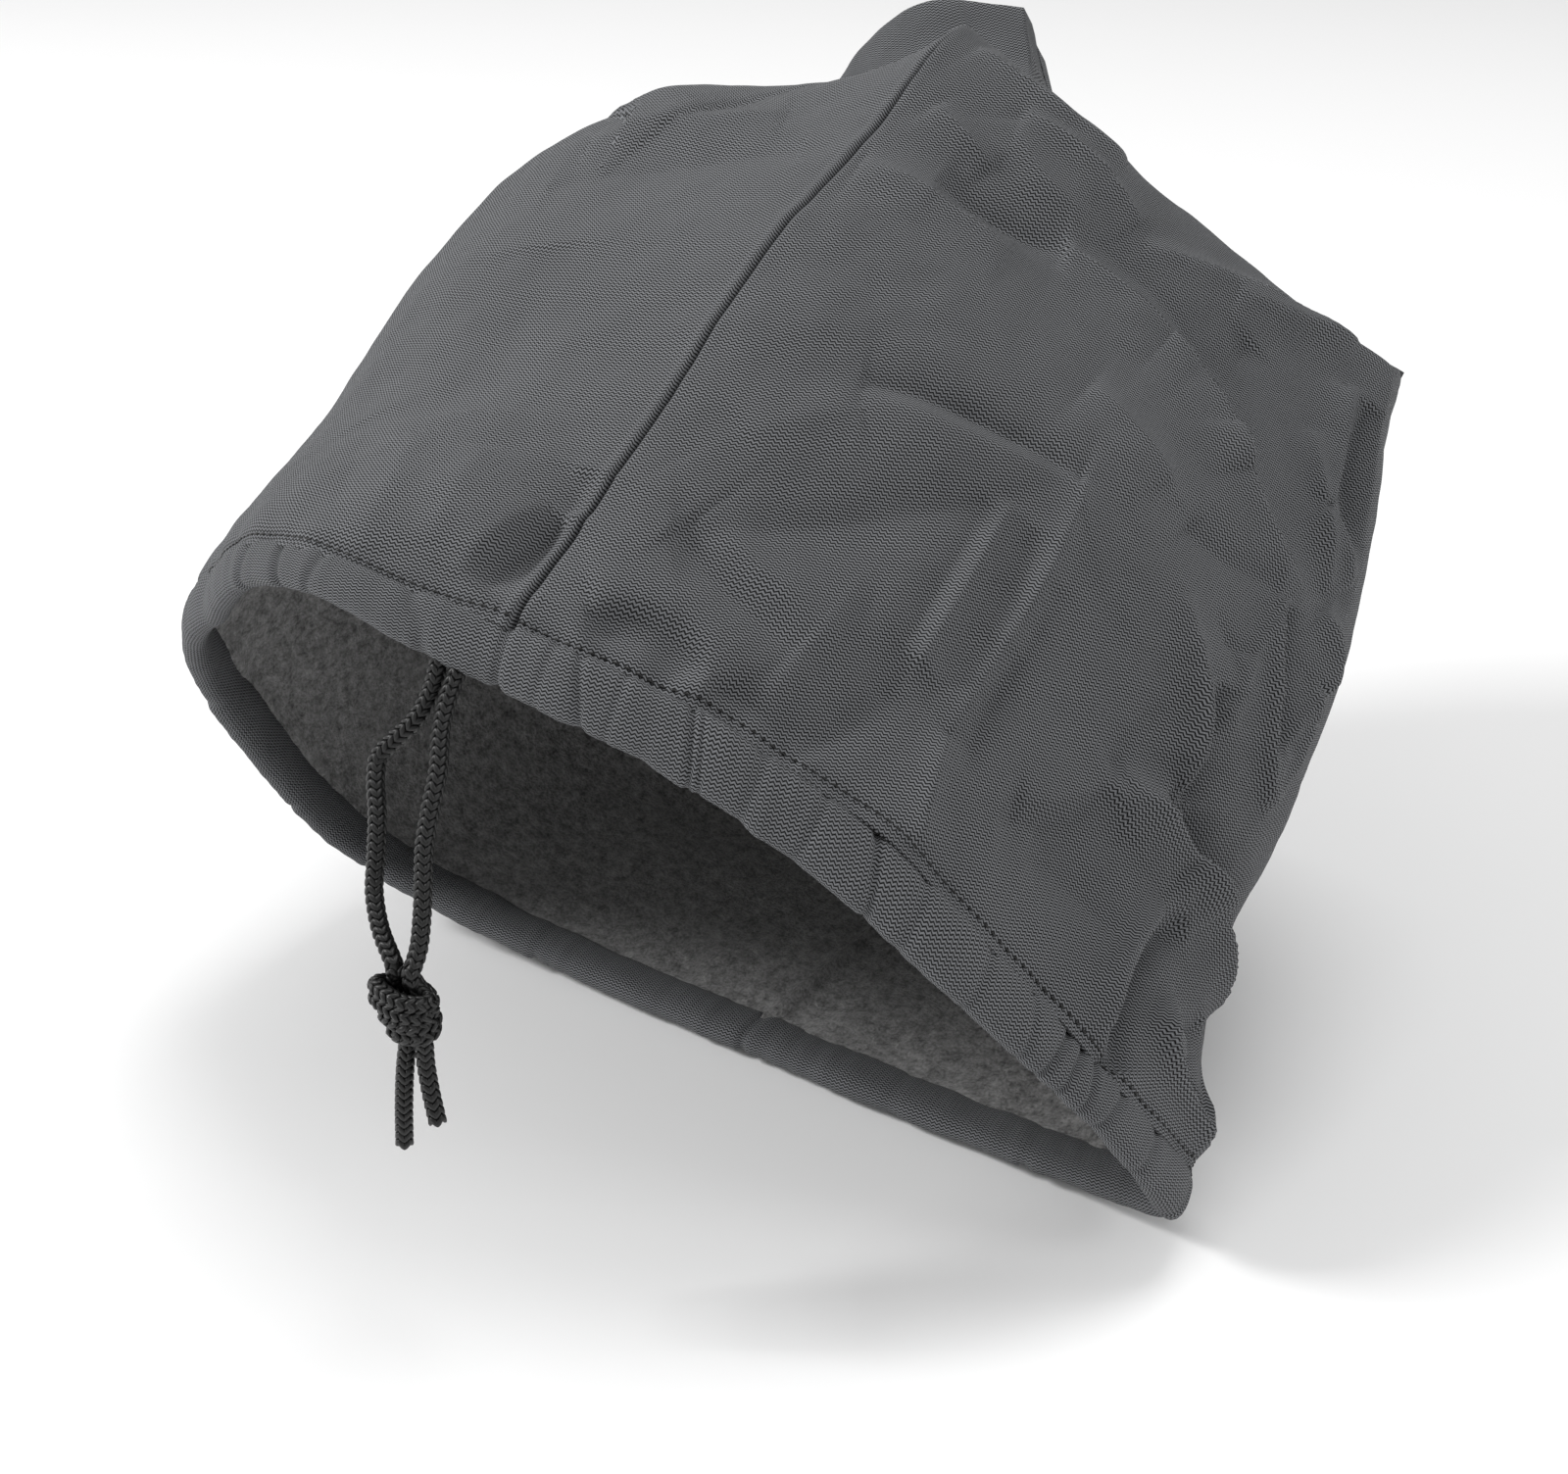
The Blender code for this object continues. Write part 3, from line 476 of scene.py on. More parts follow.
def twill(graph, shader, dark=0.002, light=0.200):
    uv = graph.node("ShaderNodeUVMap", {"uv_map": "cloth"})
    part = graph.node("ShaderNodeSeparateXYZ", None, {0: uv})
    u = part
    v = Value(graph, part.socket.node.outputs[1])
    drift = graph.node("ShaderNodeTexNoise", {"noise_dimensions": "2D"}, {"Vector": uv, "Scale": 55.0, "Detail": 1.0})
    fine = graph.node("ShaderNodeTexNoise", {"noise_dimensions": "2D"}, {"Vector": uv, "Scale": 2600.0, "Detail": 2.0})
    broad = graph.node("ShaderNodeTexNoise", {"noise_dimensions": "2D"}, {"Vector": uv, "Scale": 22.0, "Detail": 3.0})
    zig = (u / TWILL_ZIGZAG).math("PINGPONG", 0.5) * 2.0
    row = (v / TWILL_ROW + zig * TWILL_SWING + drift * 0.9).math("FRACT")
    rib = (row * math.pi).math("SINE")
    shade = (rib * 1.7 - 0.62) * (0.72 + fine * 0.56) * (0.86 + broad * 0.28)
    low, high = grey(dark, (0.97, 1.0, 1.07)), grey(light, (0.975, 1.0, 1.05))
    mixed = graph.node("ShaderNodeMix", {"data_type": "RGBA"}, {0: shade, 6: low, 7: high}, out=2)
    bump = graph.node("ShaderNodeBump", None, {"Height": rib + fine * 0.3, "Distance": 0.00030, "Strength": 1.0})
    graph.tree.links.new(mixed.socket, shader.inputs["Base Color"])
    graph.tree.links.new(bump.socket, shader.inputs["Normal"])
    shader.inputs["Roughness"].default_value = 0.82
    shader.inputs["Specular IOR Level"].default_value = 0.18
    shader.inputs["Sheen Weight"].default_value = 0.07
    shader.inputs["Sheen Roughness"].default_value = 0.40


def fleece(graph, shader):
    place = graph.node("ShaderNodeTexCoord", out=3)
    fine = graph.node("ShaderNodeTexNoise", None, {"Vector": place, "Scale": 900.0, "Detail": 3.0})
    tufts = graph.node("ShaderNodeTexNoise", None, {"Vector": place, "Scale": 260.0, "Detail": 2.0})
    shade = (tufts * 0.6 + fine * 0.6 - 0.35) * 1.6
    mixed = graph.node("ShaderNodeMix", {"data_type": "RGBA"},
                       {0: shade, 6: grey(0.018), 7: grey(0.430, (1.0, 0.99, 0.98))}, out=2)
    bump = graph.node("ShaderNodeBump", None, {"Height": tufts + fine * 0.5, "Distance": 0.0012, "Strength": 1.0})
    graph.tree.links.new(mixed.socket, shader.inputs["Base Color"])
    graph.tree.links.new(bump.socket, shader.inputs["Normal"])
    shader.inputs["Roughness"].default_value = 0.95
    shader.inputs["Sheen Weight"].default_value = 0.4


def yarn(graph, shader, colour=0.006):
    place = graph.node("ShaderNodeTexCoord", out=3)
    fine = graph.node("ShaderNodeTexNoise", None, {"Vector": place, "Scale": 1500.0, "Detail": 2.0})
    mixed = graph.node("ShaderNodeMix", {"data_type": "RGBA"},
                       {0: fine, 6: grey(colour * 0.5), 7: grey(colour * 1.6)}, out=2)
    bump = graph.node("ShaderNodeBump", None, {"Height": fine, "Distance": 0.0001, "Strength": 0.6})
    graph.tree.links.new(mixed.socket, shader.inputs["Base Color"])
    graph.tree.links.new(bump.socket, shader.inputs["Normal"])
    shader.inputs["Roughness"].default_value = 0.42
    shader.inputs["Specular IOR Level"].default_value = 0.45


SHELL = material("shell_twill", twill)
HEM = material("hem_twill", twill)
FLEECE = material("fleece", fleece)
CORD = material("cord_yarn", yarn)
THREAD = material("thread", lambda graph, shader: yarn(graph, shader, 0.004))


# Meshes
def piece(name, verts, faces, finish, uv=None):
    """A new object, smooth, with one material and, where given, a UV for each point in metres."""
    mesh = bpy.data.meshes.new(name)
    mesh.from_pydata([tuple(map(float, v)) for v in verts], [], [tuple(map(int, f)) for f in faces])
    mesh.shade_smooth()
    if uv is not None:
        layer = mesh.uv_layers.new(name="cloth")
        corner = np.zeros(len(mesh.loops), int)
        mesh.loops.foreach_get("vertex_index", corner)
        layer.data.foreach_set("uv", np.asarray(uv, float)[corner].ravel())
    item = bpy.data.objects.new(name, mesh)
    bpy.context.scene.collection.objects.link(item)
    mesh.materials.append(finish)
    return item


def grid_faces(rows, columns, first=0, closed=False):
    """Quads of a grid of points whose rows lie one after another."""
    i, j = np.meshgrid(np.arange(rows - 1), np.arange(columns if closed else columns - 1), indexing="ij")
    k = (j + 1) % columns
    quads = np.stack([i * columns + j, i * columns + k, (i + 1) * columns + k, (i + 1) * columns + j], -1)
    return (quads.reshape(-1, 4) + first).tolist()


def arc_lengths(points, axis):
    """Running length along one axis of a grid of points."""
    step = np.linalg.norm(np.diff(points, axis=axis), axis=-1)
    pad = [(1, 0) if k == axis else (0, 0) for k in range(step.ndim)]
    return np.cumsum(np.pad(step, pad), axis=axis)


def sheet_piece(name, around, up, inner, outer, finish, end_rows=6):
    """Closed wall between two insets; the closed end is drawn together between its front and rear halves.

    The inner face has half the columns and rows of the outer one; both counts are odd."""
    verts, faces, uvs, grids = [], [], [], []
    for inset, step in ((outer, 1), (inner, 2)):
        a = np.asarray(around)[::step, None]
        start = panel_start(a[:, 0])[:, None]
        ups = start + (1 - start) * np.asarray(up)[None, ::step]
        shares = np.linspace(0, 1, end_rows // step + 1)[1:]
        both = []
        opposite = a[0, 0] + a[-1, 0] - a[:, 0]
        for surface in (lambda at, height: cloth(at, height, inset), skin):
            points = surface(a + 0 * ups, ups)
            last = points[:, -1]
            meet = (last + surface(opposite, 0 * opposite + 1)) / 2
            extra = [last + (meet - last) * share for share in shares]
            both.append(np.concatenate([points, np.stack(extra, 1)], 1))
        points, smooth = both
        rows, columns = points.shape[:2]
        quads = grid_faces(rows, columns, first=len(verts))
        faces += quads if step == 1 else [q[::-1] for q in quads]
        grids.append(len(verts) + np.arange(rows * columns).reshape(rows, columns))
        verts += list(points.reshape(-1, 3))
        across = arc_lengths(smooth, 0)
        across = across - across[-1 if around[0] > 0 else 0]
        uvs.append(np.stack([across, arc_lengths(smooth, 1)], -1).reshape(-1, 2))
    wide, half = grids
    edges = [(wide[:, 0], half[:, 0]), (wide[-1], half[-1]), (wide[::-1, -1], half[::-1, -1]),
             (wide[0, ::-1], half[0, ::-1])]
    for fine, coarse in edges:
        for k in range(len(coarse) - 1):
            faces.append((fine[2 * k], fine[2 * k + 1], fine[2 * k + 2], coarse[k + 1], coarse[k]))
    return piece(name, verts, faces, finish, np.vstack(uvs))


# Outer cloth: two panels that meet in the front seam and at the back, each a closed wall
# Columns stand closest beside the front seam and close on the front half; the rows are even
SEAM_COLUMNS = 0.008 * np.linspace(0, 1, 17) ** 1.6
FRONT_COLUMNS = np.linspace(0.008, 0.27, 191)[1:]
REAR_COLUMNS = np.linspace(0.27, 0.50, 49)[1:]
COLUMNS = np.concatenate([SEAM_COLUMNS, FRONT_COLUMNS, REAR_COLUMNS])
ROWS = np.linspace(0, 1, 271)
panel_left = sheet_piece("panel_left", COLUMNS, ROWS, CLOTH_WALL, 0.0, SHELL)
panel_right = sheet_piece("panel_right", 1 - COLUMNS[::-1], ROWS, CLOTH_WALL, 0.0, SHELL)
for item, node in ((panel_left, "shell_left"), (panel_right, "shell_right")):
    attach(item, "root")
    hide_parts(node)


# Lining: one cup of fleece inside both panels
LINING_COLUMNS, LINING_ROWS = 300, 120
LINING_SLACK = 0.0022
LINING_END = 0.93


def cup_piece(name, columns, rows, outer, inner, last_up, finish):
    """Closed wall right round, drawn together at its closed end."""
    around = np.arange(columns) / columns
    verts, faces = [], []
    start = panel_start(around)[:, None]
    ups = start + (last_up - start) * np.linspace(0, 1, rows)[None, :]
    for inset, flip in ((outer, False), (inner, True)):
        points = cloth(around[:, None] + 0 * ups, ups, inset)
        last = points[:, -1]
        mirror = last[(columns // 2 - np.arange(columns)) % columns]
        meet = (last + mirror) / 2
        extra = [last + (meet - last) * share for share in np.linspace(0, 1, 5)[1:]]
        points = np.concatenate([points, np.stack(extra, 1)], 1).transpose(1, 0, 2)
        quads = grid_faces(points.shape[0], columns, first=len(verts), closed=True)
        faces += [q[::-1] for q in quads] if flip else quads
        verts += list(points.reshape(-1, 3))
    size = len(verts) // 2
    for j in range(columns):
        k = (j + 1) % columns
        faces.append((k, j, size + j, size + k))
    return piece(name, verts, faces, finish)


lining = cup_piece("lining_fleece", LINING_COLUMNS, LINING_ROWS, LAYERS[2] + LINING_SLACK,
                   LAYERS[3] + LINING_SLACK, LINING_END, FLEECE)
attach(lining, "root")
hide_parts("lining")


# Padded channel round the mouth, in two halves
HEM_POINTS = 28
HEM_COLUMNS = np.concatenate([[0, 0.0008, 0.0016, 0.0024], np.linspace(0.0036, 0.27, 420),
                              np.linspace(0.272, 0.4976, 180), [0.4984, 0.4992, 0.5]])


def hem_piece(name, around, finish):
    """Half of the channel, puffed and pleated, closed at its ends."""
    middle, rise, n, _ = hem_frame(around)
    lower, upper, thickness = hem_edges(around)
    middle_line = arc_lengths(middle, 0)
    from_seam = middle_line - (middle_line[-1] if around[0] > 0 else 0)
    angle = np.linspace(0, 2 * math.pi, HEM_POINTS, endpoint=False)
    c, s = np.cos(angle), np.sin(angle)
    r = (np.abs(c) ** 2.5 + np.abs(s) ** 2.5) ** -0.4
    to_end = np.minimum(middle_line, middle_line[-1] - middle_line)
    rounding = 1 - 0.16 * np.exp(-((to_end / 0.0016) ** 2))
    high = (upper + lower)[:, None] / 2 + ((upper - lower) / 2 * rounding)[:, None] * (r * c)
    deep = (HEM_THICKNESS / 2 * thickness * rounding)[:, None] * (r * s)
    points = middle[:, None, :] + rise[:, None, :] * high[..., None] + n[:, None, :] * deep[..., None]
    out = (n[:, None, :] * s[:, None] + rise[:, None, :] * c[:, None])
    along = np.stack(np.broadcast_arrays(from_seam[:, None], high * 0.12, deep * 0.12), -1)
    wave = rumple(points, 0.016, 5.0) * 0.0008 + rumple(along, 0.0045, 6.0) * 0.00038
    for pleat in HEM_PLEATS:
        row = dict(zip(HEM_PLEAT_COLUMNS, pleat))
        place = np.interp(row["round"] % 1.0, around, from_seam, left=9.0, right=9.0)
        off = from_seam[:, None] - place - row["lean"] * c
        wave = wave - row["depth"] * np.exp(-((off / row["width"]) ** 2)) * np.clip(s + 0.7, 0, 1)
    points = points + out * wave[..., None]
    faces = grid_faces(len(around), HEM_POINTS, closed=True)
    verts = list(points.reshape(-1, 3))
    faces.append(list(range(HEM_POINTS)))
    faces.append([len(verts) - 1 - k for k in range(HEM_POINTS)])
    girth = np.append(0, np.cumsum(np.hypot(HEM_HEIGHT * np.diff(r * c), HEM_THICKNESS * np.diff(r * s)) / 2))
    uv = np.stack([np.repeat(from_seam, HEM_POINTS), np.tile(girth, len(around))], -1)
    return piece(name, verts, faces, finish, uv)


hem_left = hem_piece("hem_channel_left", HEM_COLUMNS, HEM)
hem_right = hem_piece("hem_channel_right", 1 - HEM_COLUMNS[::-1], HEM)
for item, node in ((hem_left, "hem_left"), (hem_right, "hem_right")):
    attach(item, "root")
    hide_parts(node)


# Cord: knitted round, eight columns of slanting yarns over a dark core
def smooth_path(points, count):
    """Smooth curve through the points, evenly spaced."""
    p = np.array(points)
    reach = np.concatenate([[0], np.cumsum(np.linalg.norm(np.diff(p, axis=0), axis=1))])
    rows = [(reach[k] / reach[-1], *p[k]) for k in range(len(p))]
    fine = spline(rows, np.linspace(0, 1, 400))
    reach = np.concatenate([[0], np.cumsum(np.linalg.norm(np.diff(fine, axis=0), axis=1))])
    even = np.linspace(0, reach[-1], count)
    return np.stack([np.interp(even, reach, fine[:, k]) for k in range(3)], -1)


def poly_curve(name, paths):
    """A curve object with one straight-pieced line for each path."""
    curve = bpy.data.curves.new(name, "CURVE")
    curve.dimensions = "3D"
    for path in paths:
        line = curve.splines.new("POLY")
        line.points.add(len(path) - 1)
        for point, place in zip(line.points, path):
            point.co = (*map(float, place), 1)
    item = bpy.data.objects.new(name, curve)
    bpy.context.scene.collection.objects.link(item)
    return item


def geometry_tree(name, inputs):
    """An empty geometry tree with its named inputs; returns the graph, the input node and their identifiers."""
    tree = bpy.data.node_groups.new(name, "GeometryNodeTree")
    tree.interface.new_socket("Geometry", in_out="INPUT", socket_type="NodeSocketGeometry")
    tree.interface.new_socket("Geometry", in_out="OUTPUT", socket_type="NodeSocketGeometry")
    names = {}
    for label, (kind, value) in inputs.items():
        socket = tree.interface.new_socket(label, in_out="INPUT", socket_type=kind)
        if value is not None:
            socket.default_value = value
        names[label] = socket.identifier
    return Graph(tree), tree.nodes.new("NodeGroupInput"), names


def grow(item, name, tree, identifiers, values):
    """Run the tree on the object, with its inputs set, and keep the result as a plain mesh."""
    modifier = item.modifiers.new(name, "NODES")
    modifier.node_group = tree
    for label, value in values.items():
        modifier[identifiers[label]] = value
    evaluated = item.evaluated_get(bpy.context.evaluated_depsgraph_get())
    mesh = bpy.data.meshes.new_from_object(evaluated)
    mesh.name = name
    made = bpy.data.objects.new(name, mesh)
    bpy.context.scene.collection.objects.link(made)
    bpy.data.objects.remove(item, do_unlink=True)
    return made


YARN_COLUMNS = 8


def braid_tree():
    """Columns of leaf-shaped yarns round a line, neighbours slanting opposite ways, over a smooth core."""
    graph, given, names = geometry_tree("braid", {
        "Cord radius": ("NodeSocketFloat", 0.0025), "Yarn step": ("NodeSocketFloat", 0.0023),
        "Yarn length": ("NodeSocketFloat", 0.0036), "Yarn width": ("NodeSocketFloat", 0.00170),
        "Yarn slant": ("NodeSocketFloat", 0.62), "Finish": ("NodeSocketMaterial", None)})
    take = {label: Value(graph, given.outputs[label]) for label in
            ("Geometry", "Cord radius", "Yarn step", "Yarn length", "Yarn width", "Yarn slant", "Finish")}
    leaf = graph.node("GeometryNodeMeshUVSphere", None, {"Segments": 8, "Rings": 6, "Radius": 0.5})
    size = graph.node("ShaderNodeCombineXYZ", None,
                      {0: take["Yarn width"] * 0.80, 1: take["Yarn width"], 2: take["Yarn length"]})
    leaf = graph.node("GeometryNodeTransform", None, {"Geometry": leaf, "Scale": size})
    joined = graph.tree.nodes.new("GeometryNodeJoinGeometry")
    even = graph.node("GeometryNodeResampleCurve", {"mode": "LENGTH"},
                      {"Curve": take["Geometry"], "Length": take["Yarn step"] * 0.5})
    tangent = graph.node("GeometryNodeInputTangent")
    normal = graph.node("GeometryNodeInputNormal")
    index = graph.node("GeometryNodeInputIndex")
    across = graph.node("ShaderNodeVectorMath", {"operation": "CROSS_PRODUCT"}, {0: tangent, 1: normal})
    for column in range(YARN_COLUMNS):
        angle = 2 * math.pi * (column + 0.5) / YARN_COLUMNS
        one = graph.node("ShaderNodeVectorMath", {"operation": "SCALE"}, {0: normal, "Scale": math.cos(angle)})
        two = graph.node("ShaderNodeVectorMath", {"operation": "SCALE"}, {0: across, "Scale": math.sin(angle)})
        radial = graph.node("ShaderNodeVectorMath", {"operation": "ADD"}, {0: one, 1: two})
        offset = graph.node("ShaderNodeVectorMath", {"operation": "SCALE"},
                            {0: radial, "Scale": take["Cord radius"] - take["Yarn width"] * 0.36})
        turn = graph.node("FunctionNodeAxesToRotation", {"primary_axis": "Z", "secondary_axis": "X"},
                          {"Primary Axis": tangent, "Secondary Axis": radial})
        slant = take["Yarn slant"] * (1 if column % 2 else -1)
        lean = graph.node("FunctionNodeAxisAngleToRotation", None, {"Axis": (1.0, 0.0, 0.0), "Angle": slant})
        turn = graph.node("FunctionNodeRotateRotation", {"rotation_space": "LOCAL"},
                          {"Rotation": turn, "Rotate By": lean})
        saved = graph.node("GeometryNodeStoreNamedAttribute", {"data_type": "QUATERNION", "domain": "POINT"},
                           {"Geometry": even, "Name": "turn", "Value": turn})
        moved = graph.node("GeometryNodeSetPosition", None, {"Geometry": saved, "Offset": offset})
        keep = graph.node("FunctionNodeCompare", {"data_type": "INT", "operation": "EQUAL"},
                          {2: graph.node("FunctionNodeIntegerMath", {"operation": "MODULO"}, {0: index, 1: 2}),
                           3: 0})
        turned = graph.node("GeometryNodeInputNamedAttribute", {"data_type": "QUATERNION"}, {"Name": "turn"})
        placed = graph.node("GeometryNodeInstanceOnPoints", None,
                            {"Points": moved, "Selection": keep, "Instance": leaf, "Rotation": turned})
        graph.tree.links.new(placed.socket, joined.inputs[0])
    ring = graph.node("GeometryNodeCurvePrimitiveCircle", None,
                      {"Resolution": 12, "Radius": take["Cord radius"] - take["Yarn width"] * 0.45})
    core = graph.node("GeometryNodeCurveToMesh", None,
                      {"Curve": even, "Profile Curve": ring, "Fill Caps": True})
    graph.tree.links.new(core.socket, joined.inputs[0])
    real = graph.node("GeometryNodeRealizeInstances", None, {"Geometry": Value(graph, joined.outputs[0])})
    coated = graph.node("GeometryNodeSetMaterial", None, {"Geometry": real, "Material": take["Finish"]})
    smooth = graph.node("GeometryNodeSetShadeSmooth", None, {0: coated})
    end = graph.tree.nodes.new("NodeGroupOutput")
    graph.tree.links.new(smooth.socket, end.inputs[0])
    return graph.tree, names


BRAID, BRAID_INPUTS = braid_tree()
middle, rise, normal, _ = (value[0] for value in hem_frame(np.array([OPENING_AT])))
exit_point = middle - rise * HEM_HEIGHT / 2
sideways = np.cross(rise, normal)
knot_middle = exit_point + np.array(KNOT_CENTRE)
knot_end = np.array([0, 0, KNOT_HEIGHT / 2 + GAP])
straight = np.array([0, 0, CORD_DIAMETER / 2])


strands, tails = [], []
for name, points, side, meet in (("cord_strand_left", STRAND_LEFT, 1, STRANDS_MEET[0]),
                                 ("cord_strand_right", STRAND_RIGHT, -1, STRANDS_MEET[1])):
    beside = exit_point + sideways * side * (CORD_DIAMETER / 2 + GAP)
    path = [beside + rise * HEM_HEIGHT * 0.5, beside + rise * HEM_HEIGHT * 0.25, beside]
    path = path + [exit_point + np.array(p) for p in points]
    last = knot_middle + knot_end + np.array([meet, 0, 0])
    path = np.vstack([smooth_path(path + [last + straight], 60), last])
    braided = grow(poly_curve(name, [path]), name.replace("cord_", "braid_"), BRAID, BRAID_INPUTS,
                   {"Cord radius": CORD_DIAMETER / 2, "Finish": CORD})
    strands.append((name, braided, path))
for name, points, meet in (("cord_tail_left", TAIL_LEFT, TAILS_MEET[0]),
                           ("cord_tail_right", TAIL_RIGHT, TAILS_MEET[1])):
    first = knot_middle - knot_end + np.array([meet, 0, 0])
    path = [first - straight] + [exit_point + np.array(p) for p in points]
    path = np.vstack([first + TAIL_TUCK, first, smooth_path(path, 24)])
    braided = grow(poly_curve(name, [path]), name.replace("cord_", "braid_"), BRAID, BRAID_INPUTS,
                   {"Cord radius": CORD_DIAMETER / 2, "Finish": CORD})
    tails.append((name, braided, path))
for name, braided, path in strands + tails:
    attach(braided, "root")
    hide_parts(name)

# Knot: the doubled cord wound over itself
KNOT_TURNS = [
    [(-3.0, 0.5, 8.5), (-4.0, 1.2, 5.5), (-1.0, 3.6, 3.4), (4.5, 3.4, 3.0), (8.0, 0.0, 3.4), (4.5, -4.6, 4.4),
     (-1.5, -5.2, 5.4), (-6.4, -3.6, 5.3), (-8.3, 0.0, 3.6), (-5.4, 3.8, 1.0), (1.5, 4.2, -1.6), (7.6, 1.6, -2.8),
     (7.8, -2.0, -2.8), (4.0, -4.9, -2.4), (-0.8, -5.0, -1.9), (-4.2, -3.4, -2.4), (-3.6, 0.0, -4.4),
     (-0.6, 0.5, -6.4), (0.0, 0.0, -8.2)],
    [(3.0, 0.5, 8.5), (3.6, 1.6, 5.8), (6.6, 2.4, 2.4), (8.2, -0.6, 0.4), (4.8, -4.7, 0.8), (-1.8, -5.3, 1.6),
     (-6.5, -3.7, 1.6), (-8.2, 0.0, 0.0), (-5.6, 3.8, -3.0), (1.5, 4.2, -5.2), (7.4, 1.4, -6.0),
     (7.6, -1.8, -6.0), (4.0, -4.5, -6.0), (-0.4, -4.5, -5.6), (-2.0, -1.6, -5.6), (2.0, 0.6, -6.2),
     (5.0, 0.4, -7.2), (5.4, 0.0, -8.2)]]
turns = [smooth_path(np.array(points) * 0.001 + knot_middle, 90) for points in KNOT_TURNS]
knot = grow(poly_curve("cord_knot", turns), "knot_of_cord", BRAID, BRAID_INPUTS,
            {"Cord radius": CORD_DIAMETER / 2, "Finish": CORD})
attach(knot, "root")
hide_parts("cord_knot")

# The hidden cord in the channel keeps its solid, in the cord's own material
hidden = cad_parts["cord_run"].data.materials
hidden.clear()
hidden.append(CORD)

# Stitches that close the channel, one row along its upper edge
STITCH_STEP = 0.0034
STITCH_LENGTH = 0.0023
STITCH_WIDTH = 0.0007
STITCH_ABOVE = 0.0009
STITCH_POINTS = 500


def stitch_tree():
    """Small rounded stitches one after another along a line, each lying in the line's direction."""
    graph, given, names = geometry_tree("stitches", {
        "Stitch step": ("NodeSocketFloat", STITCH_STEP), "Stitch length": ("NodeSocketFloat", STITCH_LENGTH),
        "Stitch width": ("NodeSocketFloat", STITCH_WIDTH), "Finish": ("NodeSocketMaterial", None)})
    take = {label: Value(graph, given.outputs[label]) for label in
            ("Geometry", "Stitch step", "Stitch length", "Stitch width", "Finish")}
    stitch = graph.node("GeometryNodeMeshUVSphere", None, {"Segments": 7, "Rings": 5, "Radius": 0.5})
    size = graph.node("ShaderNodeCombineXYZ", None,
                      {0: take["Stitch width"], 1: take["Stitch width"], 2: take["Stitch length"]})
    stitch = graph.node("GeometryNodeTransform", None, {"Geometry": stitch, "Scale": size})
    even = graph.node("GeometryNodeResampleCurve", {"mode": "LENGTH"},
                      {"Curve": take["Geometry"], "Length": take["Stitch step"]})
    turn = graph.node("FunctionNodeAlignRotationToVector", {"axis": "Z"},
                      {"Vector": graph.node("GeometryNodeInputTangent")})
    placed = graph.node("GeometryNodeInstanceOnPoints", None,
                        {"Points": even, "Instance": stitch, "Rotation": turn})
    real = graph.node("GeometryNodeRealizeInstances", None, {"Geometry": placed})
    coated = graph.node("GeometryNodeSetMaterial", None, {"Geometry": real, "Material": take["Finish"]})
    smooth = graph.node("GeometryNodeSetShadeSmooth", None, {0: coated})
    end = graph.tree.nodes.new("NodeGroupOutput")
    graph.tree.links.new(smooth.socket, end.inputs[0])
    return graph.tree, names


STITCHES, STITCH_INPUTS = stitch_tree()
round_mouth = np.linspace(0.002, 0.998, STITCH_POINTS)
stitch_up = HEM_MIDDLE + (hem_edges(round_mouth)[1] + STITCH_ABOVE) / hem_frame(round_mouth)[3]
stitch_line = cloth(round_mouth, stitch_up)
stitch_line = stitch_line + outward(round_mouth, np.full(STITCH_POINTS, HEM_MIDDLE)) * STITCH_WIDTH * 0.2
stitches = grow(poly_curve("stitch_line", [stitch_line]), "stitches_mouth", STITCHES, STITCH_INPUTS,
                {"Finish": THREAD})
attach(stitches, "root")

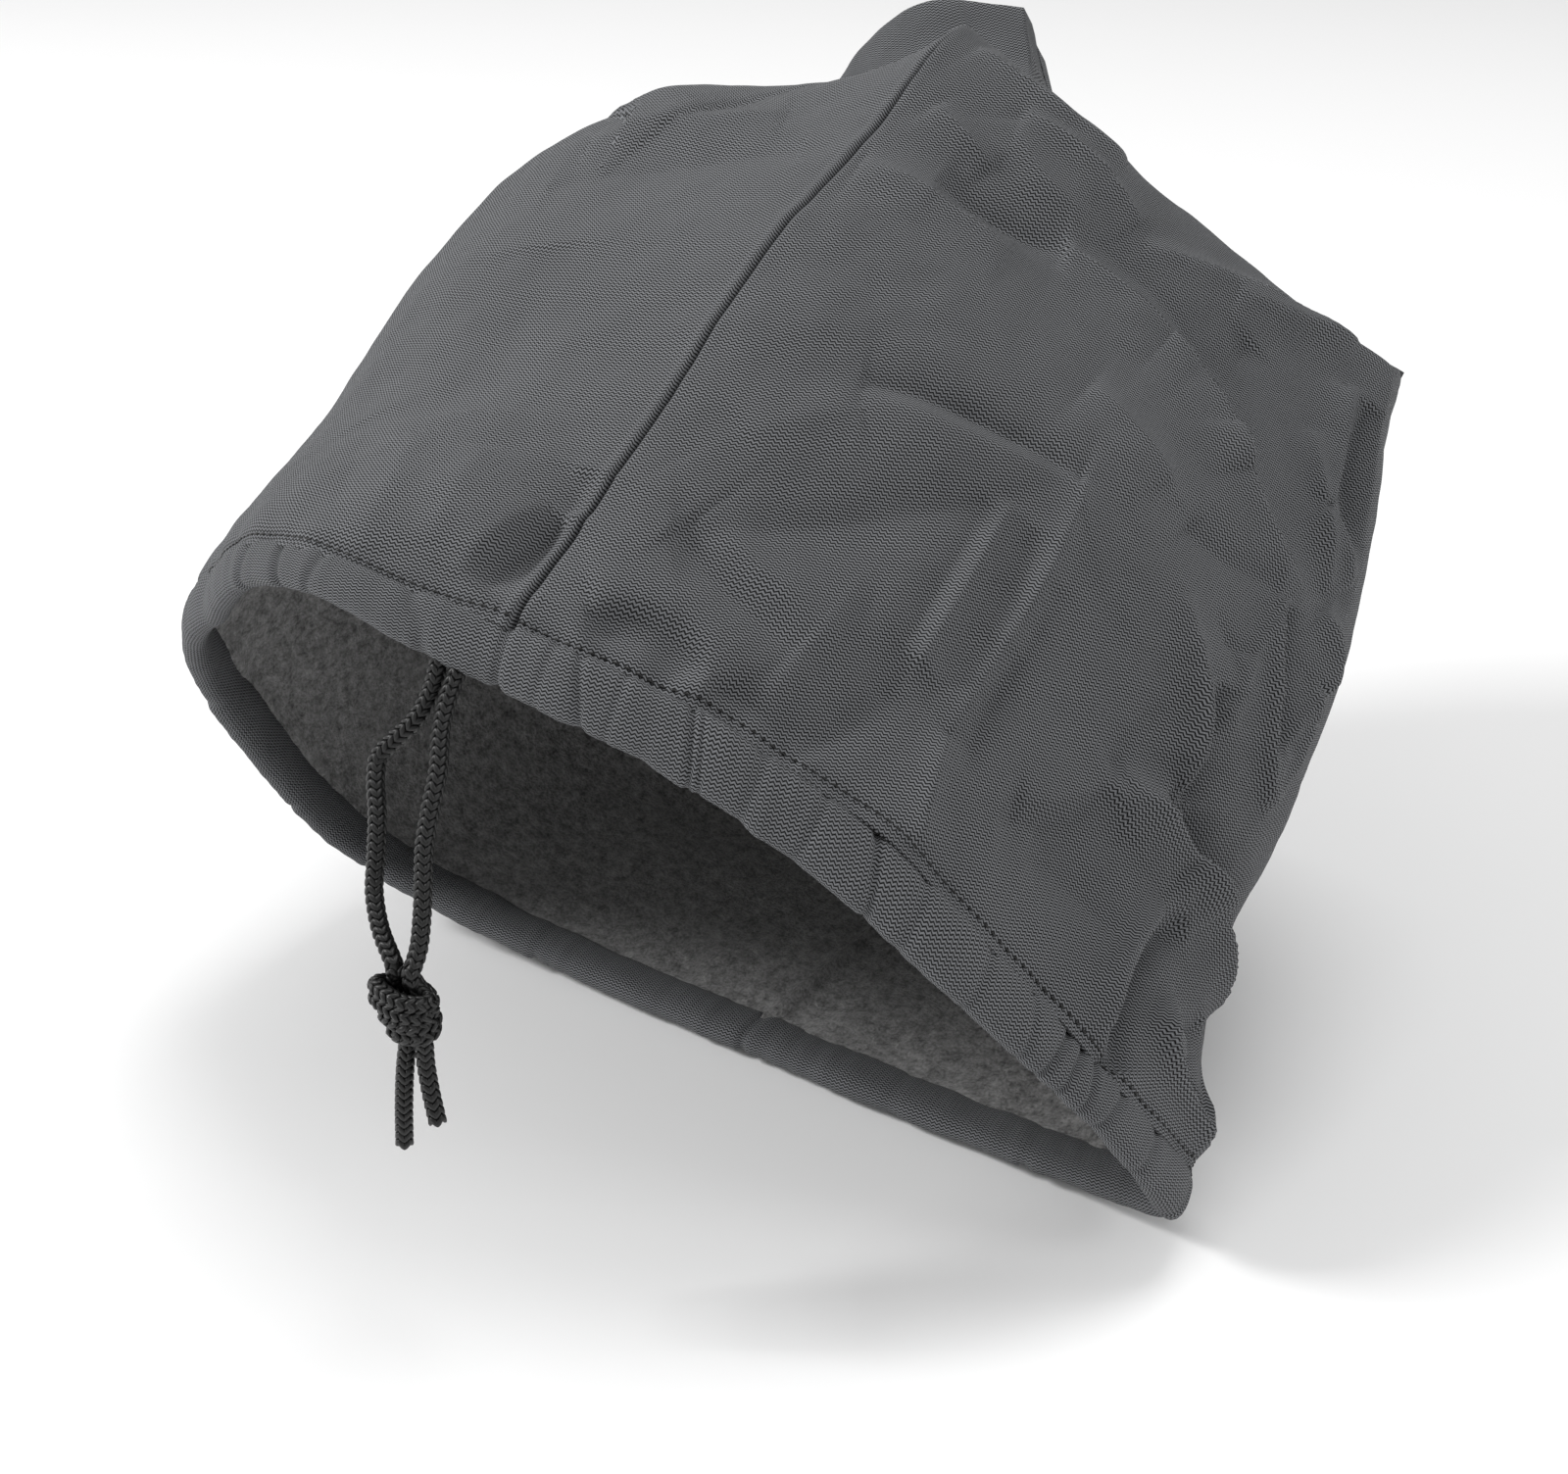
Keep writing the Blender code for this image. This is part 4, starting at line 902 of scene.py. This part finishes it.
# Floor, light and camera
FLOOR_SIZE = 14.0
FLOOR_BELOW = 0.0005
FLOOR_GREY = 0.95
WORLD_STRENGTH = 0.49
floor_z = float(cad_box[0][2])
bpy.ops.mesh.primitive_plane_add(size=FLOOR_SIZE, location=(0.0, 0.0, floor_z - FLOOR_BELOW))
floor = bpy.context.object
floor.name = "floor"


def plain_floor(graph, shader):
    shader.inputs["Base Color"].default_value = grey(FLOOR_GREY)
    shader.inputs["Roughness"].default_value = 0.85
    shader.inputs["Specular IOR Level"].default_value = 0.1


floor.data.materials.append(material("plain_floor", plain_floor))
world = bpy.data.worlds.new("studio")
world.use_nodes = True
world.node_tree.nodes["Background"].inputs["Color"].default_value = grey(1.0)
world.node_tree.nodes["Background"].inputs["Strength"].default_value = WORLD_STRENGTH
bpy.context.scene.world = world
bpy.context.scene.view_settings.view_transform = "Standard"

# Softboxes, all turned to one point: place and size in metres, power in watts
LAMP_TARGET = (0, 0, -0.12)
LAMP_COLUMNS = ("name", "place", "size", "power")
LAMPS = [
    ("softbox_top", (0.1, 0.7, 3.1), 1.4, 38.0),
    ("softbox_front", (-2.2, -1.8, 2.0), 0.8, 84.0),
    ("softbox_left", (2.7, 0.5, 1.4), 0.8, 13.0),
]
for values in LAMPS:
    row = dict(zip(LAMP_COLUMNS, values))
    light = bpy.data.lights.new(row["name"], "AREA")
    light.shape = "SQUARE"
    light.size = row["size"]
    light.energy = row["power"]
    lamp = bpy.data.objects.new(row["name"], light)
    lamp.location = row["place"]
    lamp.rotation_euler = (Vector(LAMP_TARGET) - Vector(row["place"])).to_track_quat("-Z", "Y").to_euler()
    bpy.context.scene.collection.objects.link(lamp)

lens = bpy.data.cameras.new("camera")
lens.lens = CAMERA_LENS
lens.sensor_width = 36.0
camera = bpy.data.objects.new("camera", lens)
way, lift = math.radians(CAMERA_ROUND), math.radians(CAMERA_UP)
target = Vector(CAMERA_TARGET) - Vector(seat)
back = Vector((math.sin(way) * math.cos(lift), -math.cos(way) * math.cos(lift), math.sin(lift)))
camera.location = target + back * CAMERA_AWAY
camera.rotation_euler = back.to_track_quat("Z", "Y").to_euler()
bpy.context.scene.collection.objects.link(camera)
bpy.context.scene.camera = camera
